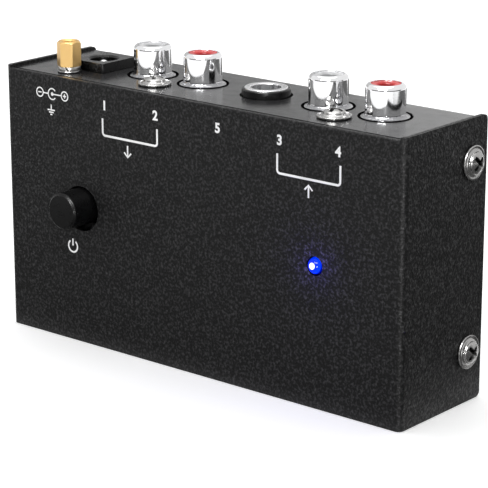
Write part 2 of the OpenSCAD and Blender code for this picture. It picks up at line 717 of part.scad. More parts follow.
module ground_stud() color([0.8, 0.65, 0.35]) at_ground(0) {
  translate([0, 0, lug_low - stud_head_h]) cylinder(r = stud_head_r, h = stud_head_h);
  translate([0, 0, lug_low - 0.5]) cylinder(r = stud_r, h = stud_top - lug_low + 0.5);
}

module ground_lug() color([0.8, 0.8, 0.8]) at_ground(lug_low) difference() {
  union() {
    cylinder(r = lug_r, h = lug_t);
    block([-lug_l, -1, 0], [0, 1, lug_t]);
  }
  translate([0, 0, -1]) cylinder(r = stud_r + fit, h = lug_t + 2);
  translate([-lug_eye, 0, -1]) cylinder(r = strand_r + 0.1, h = lug_t + 2);
}

// hangs from the lug's eye, bends back and enters the board
module ground_wire() color([0.2, 0.6, 0.25]) translate([wire_x, ground_y, 0]) {
  translate([0, 0, wire_z + wire_bend]) cylinder(r = wire_r, h = lug_low - 0.6 - wire_z - wire_bend);
  translate([0, 0, lug_low - 1]) cylinder(r = strand_r, h = lug_t + 0.9);
  translate([0, wire_bend, wire_z + wire_bend]) rotate([90, 0, 90]) rotate(180)
    rotate_extrude(angle = 90) translate([wire_bend, 0]) circle(wire_r);
  facing_back([0, wire_bend, wire_z]) cylinder(r = wire_r, h = board_face - ground_y - wire_bend - 0.4);
  facing_back([0, wire_bend, wire_z]) cylinder(r = strand_r, h = tail_end - ground_y - wire_bend);
}

module ground_washer() color([0.8, 0.8, 0.78]) at_ground(panel_z) ring(washer_r, stud_r + 0.1, washer_t);

module ground_split_washer() color([0.75, 0.72, 0.62]) at_ground(panel_z + washer_t) difference() {
  ring(washer_r - 0.1, stud_r + thread_gap, split_t);
  rotate(-60) translate([0, -0.25, -1]) cube([washer_r + 1, 0.5, split_t + 2]);
}

module ground_nut() color([0.8, 0.62, 0.32]) at_ground(nut_low) difference() {
  intersection() {
    rotate(nut_turn) cylinder(r = nut_corner, h = nut_h, $fn = 6);
    rotate_extrude() polygon([
      [0, 0], [nut_corner + 0.5, 0], [nut_corner + 0.5, nut_h - 1], [nut_corner - 0.5, nut_h], [0, nut_h]
    ]);
  }
  translate([0, 0, -1]) cylinder(r = stud_r + thread_gap, h = nut_h + 2);
}

// power switch

module button_cap() color([0.05, 0.05, 0.05]) difference() {
  facing_back([button_x, cap_front, button_z]) rotate_extrude() {
    translate([0, button_round]) square([button_r, cap_l - button_round]);
    square([button_r - button_round, cap_l]);
    translate([button_r - button_round, button_round]) circle(button_round);
  }
  translate([button_x, cap_back, button_z])
    cube([plunger_w + 2 * fit, 2 * cap_socket, plunger_w + 2 * fit], center = true);
}

module switch_plunger() color([0.9, 0.9, 0.88]) translate([button_x, 0, button_z]) {
  block([-plunger_w / 2, cap_back - cap_socket, -plunger_w / 2],
    [plunger_w / 2, switch_front + switch_wall + 1, plunger_w / 2]);
  block([-plunger_flange / 2, switch_front + switch_wall, -plunger_flange / 2],
    [plunger_flange / 2, switch_front + switch_wall + plunger_flange_t, plunger_flange / 2]);
}

spring_y0 = switch_front + switch_wall + plunger_flange_t;
spring_y1 = board_face - switch_wall;

// compression spring swept along a helix behind the plunger
module switch_spring() color([0.75, 0.75, 0.77]) {
  steps = spring_coils * 12;
  sides = 6;
  rise = (spring_y1 - spring_y0 - 2 * spring_wire) / steps;
  points = [for (i = [0:steps], k = [0:sides - 1])
    let (a = i * 30, b = k * 360 / sides, r = spring_r + spring_wire * cos(b))
    [r * cos(a), spring_wire + i * rise + spring_wire * sin(b), r * sin(a)]];
  walls = [for (i = [0:steps - 1], k = [0:sides - 1])
    let (n = (k + 1) % sides) [i * sides + k, i * sides + n, (i + 1) * sides + n, (i + 1) * sides + k]];
  first = [for (k = [sides - 1:-1:0]) k];
  last = [for (k = [0:sides - 1]) steps * sides + k];
  translate([button_x, spring_y0, button_z]) polyhedron(points, concat(walls, [first, last]));
}

module switch_housing() color([0.12, 0.12, 0.12]) translate([button_x, 0, button_z]) difference() {
  block([-switch_w / 2, switch_front, -switch_w / 2], [switch_w / 2, board_face, switch_w / 2]);
  block([-plunger_flange / 2 - fit, switch_front + switch_wall, -plunger_flange / 2 - fit],
    [plunger_flange / 2 + fit, board_face - switch_wall, plunger_flange / 2 + fit]);
  block([-plunger_w / 2 - fit, switch_front - 1, -plunger_w / 2 - fit],
    [plunger_w / 2 + fit, switch_front + switch_wall + 1, plunger_w / 2 + fit]);
}

module switch_pins() color([0.8, 0.8, 0.8])
  for (h = switch_holes) facing_back([h.x, board_face, h.y])
    cylinder(r = switch_pin_r, h = tail_end - board_face, $fn = 24);

// light

module light_lens() color([0.1, 0.25, 0.95]) facing_back([light_x, lens_tip, light_z]) rotate_extrude() {
  intersection() {
    translate([0, lens_r]) circle(lens_r);
    square([lens_r, lens_r]);
  }
  translate([0, lens_r]) square([lens_r, lens_flange_y - lens_tip - lens_r]);
  translate([0, lens_flange_y - lens_tip]) square([lens_flange_r, lens_flange_t]);
}

module light_spacer() color([0.1, 0.1, 0.1])
  facing_back([light_x, lens_flange_y + lens_flange_t, light_z]) difference() {
    cylinder(r = spacer_r, h = board_face - lens_flange_y - lens_flange_t);
    for (s = [-1, 1]) translate([s * lead_pitch / 2, 0, -1]) cylinder(r = lead_hole_r, h = case_d, $fn = 24);
  }

module light_leads() color([0.8, 0.8, 0.8])
  for (s = [-1, 1]) lead([light_x + s * lead_pitch / 2, light_z], lens_flange_y + lens_flange_t);

// parts on the board

module amplifier_chip() color([0.1, 0.1, 0.1])
  translate([chip_at.x, board_face - chip_gap, chip_at.y]) difference() {
    block([-chip_w / 2, -chip_t, -chip_h / 2], [chip_w / 2, 0, chip_h / 2]);
    facing_back([-chip_w / 2, -chip_t - 1, 0]) cylinder(r = chip_h / 8, h = 1 + notch_t, $fn = 24);
  }

module chip_legs() color([0.8, 0.8, 0.8]) for (i = [0:3], s = [-1, 1])
  translate([chip_at.x + (i - 1.5) * chip_pitch, 0, chip_at.y + s * chip_row / 2]) {
    lead([0, 0], leg_y);
    block([-leg_w / 2, leg_y - leg_t / 2, s > 0 ? (chip_h - chip_row) / 2 : -lead_r],
      [leg_w / 2, leg_y + leg_t / 2, s > 0 ? lead_r : (chip_row - chip_h) / 2]);
  }

module filter_capacitors() color([0.12, 0.14, 0.3]) for (c = can_at)
  facing_front([c.x, board_face, c.y]) rotate_extrude() {
    square([can_r, can_h - 0.4]);
    square([can_r - 0.4, can_h]);
    translate([can_r - 0.4, can_h - 0.4]) circle(0.4);
  }

module capacitor_leads() color([0.8, 0.8, 0.8]) for (h = can_holes) lead(h, board_face);

module film_capacitors() color([0.75, 0.2, 0.15]) for (c = film_at)
  block([c.x - film_w / 2, board_face - film_h, c.y - film_t / 2],
    [c.x + film_w / 2, board_face, c.y + film_t / 2]);

module film_leads() color([0.8, 0.8, 0.8]) for (h = film_holes) lead(h, board_face);

// body of an axial part, lying on the board along X
module axial_body(at, r, l)
  translate([at.x - l / 2, board_face - r, at.y]) rotate([0, 90, 0]) cylinder(r = r, h = l);

// its two leads, bent down into the board
module axial_leads(at, r, l) for (s = [-1, 1]) {
  lead([at.x + s * resistor_pitch / 2, at.y], board_face - r - lead_r);
  translate([at.x + (s > 0 ? l / 2 : -resistor_pitch / 2 - lead_r), board_face - r, at.y])
    rotate([0, 90, 0]) cylinder(r = lead_r, h = resistor_pitch / 2 + lead_r - l / 2, $fn = 24);
}

module resistors() color([0.5, 0.65, 0.75]) for (c = resistor_at) axial_body(c, resistor_r, resistor_l);
module resistor_leads() color([0.8, 0.8, 0.8]) for (c = resistor_at) axial_leads(c, resistor_r, resistor_l);
module rectifier_diode() color([0.08, 0.08, 0.08]) axial_body(diode_at, diode_r, diode_l);
module diode_leads() color([0.8, 0.8, 0.8]) axial_leads(diode_at, diode_r, diode_l);

module regulator() color([0.1, 0.1, 0.1])
  facing_front([regulator_at.x, board_face - 2, regulator_at.y]) difference() {
    cylinder(r = regulator_r, h = regulator_h);
    translate([-regulator_r, -2 * regulator_r, -1])
      cube([2 * regulator_r, 1.4 * regulator_r, regulator_h + 2]);
  }

module regulator_legs() color([0.8, 0.8, 0.8]) for (h = regulator_holes) lead(h, board_face - 2);

front_cover();
rear_chassis();
side_screws();
circuit_board();
board_standoffs();
board_screws();
input_housing();
input_shells();
input_left_insulator();
input_right_insulator();
input_contacts();
input_fixing_screw();
output_housing();
output_shells();
output_left_insulator();
output_right_insulator();
output_contacts();
output_fixing_screw();
jack_body();
jack_ferrule();
jack_tip_spring();
jack_ring_spring();
inlet_body();
inlet_pin();
inlet_spring();
ground_stud();
ground_lug();
ground_wire();
ground_washer();
ground_split_washer();
ground_nut();
button_cap();
switch_plunger();
switch_spring();
switch_housing();
switch_pins();
light_lens();
light_spacer();
light_leads();
amplifier_chip();
chip_legs();
filter_capacitors();
capacitor_leads();
film_capacitors();
film_leads();
resistors();
resistor_leads();
regulator();
regulator_legs();
rectifier_diode();
diode_leads();
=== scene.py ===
import math
import bmesh
import bpy
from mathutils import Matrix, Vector


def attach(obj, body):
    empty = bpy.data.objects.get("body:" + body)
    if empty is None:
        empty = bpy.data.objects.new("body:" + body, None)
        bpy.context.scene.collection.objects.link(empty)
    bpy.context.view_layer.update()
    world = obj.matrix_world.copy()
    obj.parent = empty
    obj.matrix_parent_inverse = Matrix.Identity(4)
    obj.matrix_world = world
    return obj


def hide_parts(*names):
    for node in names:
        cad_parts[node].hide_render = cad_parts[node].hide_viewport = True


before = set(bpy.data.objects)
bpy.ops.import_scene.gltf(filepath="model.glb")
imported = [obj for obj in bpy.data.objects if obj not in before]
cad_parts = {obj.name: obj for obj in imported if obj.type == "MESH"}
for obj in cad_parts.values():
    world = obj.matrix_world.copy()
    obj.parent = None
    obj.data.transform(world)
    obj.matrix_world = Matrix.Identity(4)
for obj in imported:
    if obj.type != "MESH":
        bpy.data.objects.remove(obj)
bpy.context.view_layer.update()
mm = 0.001
print("frame loaded")


# small helpers used by every piece

def deselectAll():
    if bpy.context.mode != "OBJECT":
        bpy.ops.object.mode_set(mode="OBJECT")
    bpy.ops.object.select_all(action="DESELECT")


def makeActive(piece):
    deselectAll()
    piece.select_set(True)
    bpy.context.view_layer.objects.active = piece


def editPiece(piece, mode="FACE"):
    makeActive(piece)
    bpy.ops.object.mode_set(mode="EDIT")
    bpy.ops.mesh.select_mode(type=mode)
    bpy.ops.mesh.select_all(action="DESELECT")


def pickFaces(piece, test):  # test(centre in mm, normal)
    editPiece(piece, "FACE")
    mesh = bmesh.from_edit_mesh(piece.data)
    for face in mesh.faces:
        face.select_set(test(face.calc_center_median() / mm, face.normal))
    bmesh.update_edit_mesh(piece.data)


def pickEdges(piece, test):  # test(middle in mm, direction)
    editPiece(piece, "EDGE")
    mesh = bmesh.from_edit_mesh(piece.data)
    for edge in mesh.edges:
        ends = [v.co / mm for v in edge.verts]
        edge.select_set(test((ends[0] + ends[1]) / 2, (ends[1] - ends[0]).normalized()))
    bmesh.update_edit_mesh(piece.data)


def pickPoints(piece, test):
    editPiece(piece, "VERT")
    mesh = bmesh.from_edit_mesh(piece.data)
    for vert in mesh.verts:
        vert.select_set(test(vert.co / mm))
    bmesh.update_edit_mesh(piece.data)


def doneEditing():
    bpy.ops.object.mode_set(mode="OBJECT")


def addBlock(name, low, high):  # a cube between two corners, in mm
    deselectAll()
    middle = [(a + b) / 2 * mm for a, b in zip(low, high)]
    bpy.ops.mesh.primitive_cube_add(size=1, location=middle)
    block = bpy.context.object
    block.name = name
    block.scale = [(b - a) * mm for a, b in zip(low, high)]
    bpy.ops.object.transform_apply(location=True, rotation=True, scale=True)
    return block


def addRod(name, radius, length, middle, turn=(0, 0, 0), sides=96):
    deselectAll()
    bpy.ops.mesh.primitive_cylinder_add(
        vertices=sides, radius=radius * mm, depth=length * mm, location=[c * mm for c in middle],
        rotation=[math.radians(a) for a in turn])
    rod = bpy.context.object
    rod.name = name
    bpy.ops.object.transform_apply(location=True, rotation=True, scale=True)
    return rod


def applyModifier(piece, kind, **settings):
    makeActive(piece)
    modifier = piece.modifiers.new(kind.lower(), kind)
    for key, value in settings.items():
        setattr(modifier, key, value)
    bpy.ops.object.modifier_apply(modifier=modifier.name)


def cutAway(piece, *cutters):
    tool = joinPieces("cutter", list(cutters)) if len(cutters) > 1 else cutters[0]
    applyModifier(piece, "BOOLEAN", operation="DIFFERENCE", object=tool, solver="EXACT")
    bpy.data.objects.remove(tool, do_unlink=True)


def weld(piece, other):
    applyModifier(piece, "BOOLEAN", operation="UNION", object=other, solver="EXACT")
    bpy.data.objects.remove(other, do_unlink=True)


def softenEdges(piece, width, segments=2, angle=35):  # breaks the sharp edges, then evens the shading
    applyModifier(piece, "BEVEL", width=width * mm, segments=segments, limit_method="ANGLE",
                  angle_limit=math.radians(angle), miter_outer="MITER_ARC")
    makeActive(piece)
    bpy.ops.object.shade_smooth_by_angle(angle=math.radians(48))
    applyModifier(piece, "WEIGHTED_NORMAL", keep_sharp=True, weight=80)


def arc(middleR, middleZ, radius, start, end, count=6):  # part of a turned outline
    angles = [math.radians(start + (end - start) * i / count) for i in range(count + 1)]
    return [(middleR + radius * math.cos(a), middleZ + radius * math.sin(a)) for a in angles]


def turnPiece(name, outline, steps=96):
    # a single point drawn out along the outline, then spun round Z; radius and height in mm
    deselectAll()
    bpy.ops.mesh.primitive_plane_add(size=mm, location=(0, 0, 0))
    piece = bpy.context.object
    piece.name = name
    bpy.ops.object.mode_set(mode="EDIT")
    bpy.ops.mesh.select_mode(type="VERT")
    bpy.ops.mesh.select_all(action="SELECT")
    bpy.ops.mesh.merge(type="CENTER")
    here = (0, 0)
    for i, (radius, height) in enumerate(outline):
        step = ((radius - here[0]) * mm, 0, (height - here[1]) * mm)
        if i == 0:
            bpy.ops.transform.translate(value=step)
        else:
            bpy.ops.mesh.extrude_vertices_move(TRANSFORM_OT_translate={"value": step})
        here = (radius, height)
    bpy.ops.mesh.select_all(action="SELECT")
    bpy.ops.mesh.spin(steps=steps, angle=math.tau, center=(0, 0, 0), axis=(0, 0, 1))
    bpy.ops.mesh.select_all(action="SELECT")
    bpy.ops.mesh.remove_doubles(threshold=0.002 * mm)
    bpy.ops.mesh.normals_make_consistent(inside=False)
    doneEditing()
    return piece


def threadOutline(radius, depth, pitch, low, high):  # ridges of a screw thread, from low to high
    points = []
    height = low
    while height + pitch <= high:
        points += [(radius - depth, height), (radius, height + pitch / 2)]
        height += pitch
    return points + [(radius - depth, height)]


def mirroredPiece(source, name, z):  # a copy for the left-hand side
    twin = copyPiece(source, name)
    makeActive(twin)
    twin.scale = (-1, 1, 1)
    twin.location = (0, 0, z * mm)
    bpy.ops.object.transform_apply(location=True, rotation=True, scale=True)
    editPiece(twin)
    bpy.ops.mesh.select_all(action="SELECT")
    bpy.ops.mesh.normals_make_consistent(inside=False)
    doneEditing()
    return twin


def placePiece(piece, at=(0, 0, 0), turn=(0, 0, 0)):  # moves the mesh and leaves the object at the origin
    makeActive(piece)
    piece.location = [c * mm for c in at]
    piece.rotation_euler = [math.radians(a) for a in turn]
    bpy.ops.object.transform_apply(location=True, rotation=True, scale=True)
    return piece


def copyPiece(piece, name, at=(0, 0, 0), turn=(0, 0, 0)):
    makeActive(piece)
    bpy.ops.object.duplicate()
    double = bpy.context.object
    double.name = name
    double.data.name = name
    return placePiece(double, at, turn)


def joinPieces(name, pieces):
    deselectAll()
    for piece in pieces:
        piece.select_set(True)
    bpy.context.view_layer.objects.active = pieces[0]
    bpy.ops.object.join()
    whole = bpy.context.object
    whole.name = name
    whole.data.name = name
    return whole


def hangOn(piece, body, material, slot, *nodes):  # finish, body, slot and the nodes it stands for; slot is not used
    piece.data.materials.clear()
    piece.data.materials.append(material)
    if nodes:
        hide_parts(*nodes)
    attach(piece, body)
    return piece


# finishes

def newFinish(name, color, **values):
    material = bpy.data.materials.new(name)
    material.use_nodes = True
    shader = material.node_tree.nodes["Principled BSDF"]
    shader.inputs["Base Color"].default_value = (*color, 1)
    for key, value in values.items():
        shader.inputs[key].default_value = value
    return material


def addNode(material, kind, **settings):
    node = material.node_tree.nodes.new(kind)
    for key, value in settings.items():
        if key in node.inputs:
            node.inputs[key].default_value = value
        else:
            setattr(node, key, value)
    return node


def join(material, source, sink):
    material.node_tree.links.new(source, sink)


def objectSpace(material, stretch=(1, 1, 1)):
    place = addNode(material, "ShaderNodeTexCoord")
    mapping = addNode(material, "ShaderNodeMapping")
    mapping.inputs["Scale"].default_value = stretch
    join(material, place.outputs["Object"], mapping.inputs["Vector"])
    return mapping.outputs["Vector"]


def noise(material, space, scale, detail=3, roughness=0.5):
    grain = addNode(material, "ShaderNodeTexNoise", Scale=scale, Detail=detail, Roughness=roughness)
    join(material, space, grain.inputs["Vector"])
    return grain.outputs["Fac"]


def spread(material, source, low, high, fromLow=0.3, fromHigh=0.7):  # maps a pattern to a range of values
    scale = addNode(material, "ShaderNodeMapRange")
    scale.inputs["From Min"].default_value = fromLow
    scale.inputs["From Max"].default_value = fromHigh
    scale.inputs["To Min"].default_value = low
    scale.inputs["To Max"].default_value = high
    join(material, source, scale.inputs["Value"])
    return scale.outputs["Result"]


def tint(material, source, dark, light, fromLow=0.3, fromHigh=0.7):  # colour that varies with a pattern
    ramp = addNode(material, "ShaderNodeValToRGB")
    ramp.color_ramp.elements[0].position = fromLow
    ramp.color_ramp.elements[1].position = fromHigh
    ramp.color_ramp.elements[0].color = (*dark, 1)
    ramp.color_ramp.elements[1].color = (*light, 1)
    join(material, source, ramp.inputs["Fac"])
    join(material, ramp.outputs["Color"], material.node_tree.nodes["Principled BSDF"].inputs["Base Color"])


def relief(material, source, depth, under=None, strength=1.0):  # raises the pattern by depth, in mm
    bump = addNode(material, "ShaderNodeBump", Strength=strength, Distance=depth * mm)
    join(material, source, bump.inputs["Height"])
    if under:
        join(material, under, bump.inputs["Normal"])
    join(material, bump.outputs["Normal"], material.node_tree.nodes["Principled BSDF"].inputs["Normal"])
    return bump.outputs["Normal"]


def vary(material, socket, source):
    join(material, source, material.node_tree.nodes["Principled BSDF"].inputs[socket])


def texturedCoat():
    look = {"dark": (0.003, 0.003, 0.0032), "light": (0.056, 0.056, 0.0573), "grain": 1700, "pit": 2200,
            "depth": 0.1, "shine": 0.2}
    coat = newFinish("texturedCoat", look["dark"], Roughness=0.5)
    coat.node_tree.nodes["Principled BSDF"].inputs["Specular IOR Level"].default_value = look["shine"]
    space = objectSpace(coat)
    wrinkle = noise(coat, space, look["grain"], 3, 0.55)
    cells = addNode(coat, "ShaderNodeTexVoronoi", Scale=look["pit"], feature="SMOOTH_F1")
    cells.inputs["Smoothness"].default_value = 0.6
    join(coat, space, cells.inputs["Vector"])
    # painted glints: the grain's raised spots get a much lighter colour, standing in for highlights on the
    # textured coat
    tint(coat, wrinkle, look["dark"], look["light"], 0.48, 0.78)
    vary(coat, "Roughness", spread(coat, wrinkle, 0.55, 0.35))
    first = relief(coat, wrinkle, look["depth"])
    relief(coat, cells.outputs["Distance"], look["depth"] * 0.6, first)
    return coat


def satinCoat():
    coat = newFinish("satinCoat", (0.018, 0.018, 0.019), Roughness=0.22)
    coat.node_tree.nodes["Principled BSDF"].inputs["Specular IOR Level"].default_value = 0.43
    space = objectSpace(coat)
    fine = noise(coat, space, 2200, 3)
    tint(coat, noise(coat, space, 60, 2), (0.015, 0.015, 0.016), (0.02, 0.02, 0.021))
    vary(coat, "Roughness", spread(coat, noise(coat, space, 400, 3), 0.18, 0.25))
    relief(coat, fine, 0.008)
    return coat


def plated(name, color, shine, wear):  # bright plating with faint polishing marks
    metal = newFinish(name, color, Metallic=1.0, Roughness=shine)
    space = objectSpace(metal, (1, 1, 0.15))
    vary(metal, "Roughness", spread(metal, noise(metal, space, 900, 4), shine, shine + wear))
    tint(metal, noise(metal, objectSpace(metal), 300, 2), [c * 0.95 for c in color], color)
    relief(metal, noise(metal, space, 1500, 2), 0.0015)
    return metal


def paintedRecessShade(metal, color, reach):  # painted shade: darkens the colour in slots, recesses and corners, driven by ambient occlusion
    shade = addNode(metal, "ShaderNodeAmbientOcclusion", Distance=reach * mm)
    shade.samples = 8
    shadeMix = addNode(metal, "ShaderNodeMixRGB")
    # colour of the painted shade in the hollows
    shadeMix.inputs["Color1"].default_value = (*[c * 0.03 for c in color], 1)
    join(metal, spread(metal, shade.outputs["AO"], 0, 1, 0.35, 0.8), shadeMix.inputs["Fac"])
    shader = metal.node_tree.nodes["Principled BSDF"]
    join(metal, shader.inputs["Base Color"].links[0].from_socket, shadeMix.inputs["Color2"])
    join(metal, shadeMix.outputs["Color"], shader.inputs["Base Color"])
    return metal


def moulded(name, color, roughness, shine=0.5, depth=0.006):  # moulded plastic with a fine spark-eroded skin
    plastic = newFinish(name, color, Roughness=roughness)
    plastic.node_tree.nodes["Principled BSDF"].inputs["Specular IOR Level"].default_value = shine
    space = objectSpace(plastic)
    tint(plastic, noise(plastic, space, 150, 2), [c * 0.88 for c in color], [min(1, c * 1.1) for c in color])
    blotch = noise(plastic, space, 700, 3)
    vary(plastic, "Roughness", spread(plastic, blotch, roughness - 0.05, roughness + 0.08))
    relief(plastic, noise(plastic, space, 4000, 2), depth)
    return plastic


def litLens():  # clear blue resin, lit from behind: white in the middle, deep blue at the edge
    glow = {"middle": (0.0326, -0.0149, 0.0305), "edge": 0.0019, "strength": 2.2}
    resin = newFinish("lens", (0.0, 0.01, 0.25), Roughness=0.08)
    resin.node_tree.nodes["Principled BSDF"].inputs["Specular IOR Level"].default_value = 0.12
    space = objectSpace(resin)
    flat = addNode(resin, "ShaderNodeVectorMath", operation="SUBTRACT")
    join(resin, space, flat.inputs[0])
    flat.inputs[1].default_value = glow["middle"]
    seen = addNode(resin, "ShaderNodeVectorMath", operation="MULTIPLY")
    join(resin, flat.outputs[0], seen.inputs[0])
    seen.inputs[1].default_value = (1, 0, 1)
    away = addNode(resin, "ShaderNodeVectorMath", operation="LENGTH")
    join(resin, seen.outputs[0], away.inputs[0])
    ramp = addNode(resin, "ShaderNodeValToRGB")
    stops = ramp.color_ramp.elements
    stops[0].position, stops[0].color = 0.32, (1, 1, 1, 1)
    stops[1].position, stops[1].color = 0.98, (0.0, 0.0, 0.04, 1)
    for position, color in ((0.37, (0.12, 0.14, 0.9, 1)), (0.42, (0.0, 0.006, 0.4, 1)),
                            (0.82, (0.0, 0.02, 0.5, 1)), (0.92, (0.0, 0.0, 0.1, 1))):
        stops.new(position).color = color
    join(resin, spread(resin, away.outputs["Value"], 0, 1, 0, glow["edge"]), ramp.inputs["Fac"])
    side = addNode(resin, "ShaderNodeSeparateXYZ")
    join(resin, flat.outputs[0], side.inputs[0])
    shader = resin.node_tree.nodes["Principled BSDF"]
    join(resin, ramp.outputs["Color"], shader.inputs["Emission Color"])
    join(resin, spread(resin, side.outputs["X"], 1.2, glow["strength"], -0.0012, 0.0006),
         shader.inputs["Emission Strength"])
    return resin


finish = {
    "coat": texturedCoat(),
    "panel": satinCoat(),
    "bright": plated("brightPlate", (0.82, 0.82, 0.83), 0.05, 0.06),
    # the screw and brass finishes get painted shade in their slots and corners
    "screw": paintedRecessShade(plated("screwPlate", (0.38, 0.375, 0.37), 0.2, 0.12), (0.38, 0.375, 0.37), 1.5),
    "brass": paintedRecessShade(plated("terminalBrass", (0.76, 0.5, 0.2), 0.28, 0.12), (0.76, 0.5, 0.2), 1.5),
    "contact": plated("contactBrass", (0.8, 0.62, 0.32), 0.2, 0.1),
    "spring": plated("springSteel", (0.55, 0.54, 0.52), 0.25, 0.12),
    "tin": plated("tinnedWire", (0.72, 0.72, 0.73), 0.24, 0.16),
    "white": moulded("whiteInsulator", (0.62, 0.62, 0.63), 0.3),
    "red": moulded("redInsulator", (0.62, 0.03, 0.03), 0.3),
    "black": moulded("mouldedBlack", (0.0015, 0.0015, 0.0016), 0.28, 0.36),
    "lip": moulded("matteBlack", (0.002, 0.002, 0.002), 0.8, 0.0),
    "button": moulded("buttonBlack", (0.0035, 0.0035, 0.0037), 0.28, 0.19),
    "green": moulded("wireGreen", (0.08, 0.36, 0.08), 0.45),
    "sleeve": moulded("sleeveBlue", (0.03, 0.05, 0.2), 0.3),
    "film": moulded("filmRed", (0.45, 0.06, 0.03), 0.35),
    "resistor": moulded("resistorBlue", (0.2, 0.38, 0.55), 0.4),
    "solderMask": moulded("solderMask", (0.02, 0.14, 0.05), 0.35),
}
finish["lens"] = litLens()
finish["ink"] = moulded("printInk", (0.92, 0.92, 0.92), 0.5)
finish["ferrule"] = plated("ferrulePlate", (0.7, 0.7, 0.71), 0.22, 0.12)
finish["flange"] = plated("flangePlate", (0.34, 0.34, 0.35), 0.16, 0.14)  # pressed, so its surface is uneven
relief(finish["flange"], noise(finish["flange"], objectSpace(finish["flange"]), 900, 2), 0.22)
print("finishes made")

nodeFinish = {
    "coat": ["front_cover"],
    "panel": ["rear_chassis"],
    "screw": ["side_screws", "board_screws", "board_standoffs", "input_fixing_screw", "output_fixing_screw",
              "ground_washer"],
    "bright": ["input_shells", "output_shells", "jack_ferrule", "inlet_pin"],
    "brass": ["ground_nut", "ground_stud"],
    "contact": ["input_contacts", "output_contacts"],
    "spring": ["jack_tip_spring", "jack_ring_spring", "inlet_spring", "ground_split_washer", "switch_spring"],
    "tin": ["ground_lug", "switch_pins", "light_leads", "chip_legs", "capacitor_leads", "film_leads",
            "resistor_leads", "regulator_legs", "diode_leads"],
    "white": ["input_left_insulator", "output_left_insulator", "switch_plunger"],
    "red": ["input_right_insulator", "output_right_insulator"],
    "lip": ["input_housing", "output_housing"],
    "black": ["jack_body", "inlet_body", "switch_housing", "light_spacer",
              "amplifier_chip", "regulator", "rectifier_diode"],
    "button": ["button_cap"],
    "green": ["ground_wire"],
    "sleeve": ["filter_capacitors"],
    "film": ["film_capacitors"],
    "resistor": ["resistors"],
    "solderMask": ["circuit_board"],
    "lens": ["light_lens"],
}
for key, names in nodeFinish.items():
    for name in names:
        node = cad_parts[name]
        node.data.materials.clear()
        node.data.materials.append(finish[key])
print("nodes dressed")

# the folded cover: front plate and both side walls
cover = {"halfWidth": 54.5, "front": -14, "back": 14, "height": 60, "sheet": 1, "fold": 1.3, "corner": 1.2,
         "rim": 59.4, "rimRound": 0.3, "edge": 0.12}
frontCover = addBlock("frontCover", (-cover["halfWidth"], cover["front"], 0),
                      (cover["halfWidth"], cover["back"], cover["height"]))
pickFaces(frontCover, lambda at, normal: normal.y > 0.5 or abs(normal.z) > 0.5)
bpy.ops.mesh.delete(type="FACE")
pickEdges(frontCover, lambda at, along: abs(along.z) > 0.9 and at.y < 0)
bpy.ops.mesh.bevel(offset=cover["fold"] * mm, segments=8, affect="EDGES")
pickPoints(frontCover, lambda at: at.y > cover["back"] - 0.1)
bpy.ops.mesh.bevel(offset=cover["corner"] * mm, segments=8, affect="VERTICES")
doneEditing()
applyModifier(frontCover, "SOLIDIFY", thickness=cover["sheet"] * mm, offset=-1, use_even_offset=True)
buttonSpot = {"x": -32.2, "z": 31.4, "holeZ": 30.8, "hole": 5.05}
lightSpot = {"x": 32.6, "z": 30.3, "hole": 2.05}
sideScrewSpots = [(9, 11), (9, 50.9)]
pairSpots = (("input", -16.9, 35), ("output", 31.4, 10))  # middle of each pair, turn of its fixing screw
fixingY = -6.4
cutAway(frontCover,
        addBlock("rimCut", (-53.2, -16, cover["rim"]), (53.2, -12.5, 62)),
        addRod("buttonHole", buttonSpot["hole"], 8, (buttonSpot["x"], -14, buttonSpot["holeZ"]), (90, 0, 0)),
        addRod("lightHole", lightSpot["hole"], 8, (lightSpot["x"], -14, lightSpot["z"]), (90, 0, 0)),
        *[addRod("screwHole", 1.7, 6, (side * 54.5, y, z), (0, 90, 0), 48)
          for side in (-1, 1) for y, z in sideScrewSpots])
pickEdges(frontCover, lambda at, along: abs(along.x) > 0.9 and at.y < cover["front"] + 0.1
          and abs(at.z - cover["rim"]) < 0.05)
bpy.ops.mesh.bevel(offset=cover["rimRound"] * mm, segments=4, affect="EDGES")
doneEditing()
softenEdges(frontCover, cover["edge"])
hangOn(frontCover, "case", finish["coat"], "textured_black", "front_cover")
print("cover made")

# the chassis: base, back and socket panel from one sheet, with a tab for each side screw
tray = {"halfWidth": 53.4, "front": -12.5, "back": 14, "height": 59.4, "sheet": 1, "fold": 1.3, "edge": 0.1}
tab = {"inner": 51.4, "front": 4.4, "half": 5.5, "reliefFrom": 52.1, "reliefHalf": 6.3}
chassis = addBlock("chassis", (-tray["halfWidth"], tray["front"], 0),
                   (tray["halfWidth"], tray["back"], tray["height"]))
pickFaces(chassis, lambda at, normal: normal.y < -0.5 or abs(normal.x) > 0.5)
bpy.ops.mesh.delete(type="FACE")
pickEdges(chassis, lambda at, along: abs(along.x) > 0.9 and at.y > 0)
bpy.ops.mesh.bevel(offset=tray["fold"] * mm, segments=8, affect="EDGES")
doneEditing()
applyModifier(chassis, "SOLIDIFY", thickness=tray["sheet"] * mm, offset=-1, use_even_offset=True)
cutAway(chassis, *[addBlock("relief", (min(side * tab["reliefFrom"], side * 55), 12.7, z - tab["reliefHalf"]),
                            (max(side * tab["reliefFrom"], side * 55), 15, z + tab["reliefHalf"]))
                   for side in (-1, 1) for y, z in sideScrewSpots])
firstTab = addBlock("tab", (tab["inner"], tab["front"], -tab["half"]), (53.4, 14, tab["half"]))
pickFaces(firstTab, lambda at, normal: normal.x < -0.5 or normal.y < -0.5 or abs(normal.z) > 0.5)
bpy.ops.mesh.delete(type="FACE")
pickEdges(firstTab, lambda at, along: abs(along.z) > 0.9 and at.x > 53 and at.y > 13)
bpy.ops.mesh.bevel(offset=tray["fold"] * mm, segments=8, affect="EDGES")
doneEditing()
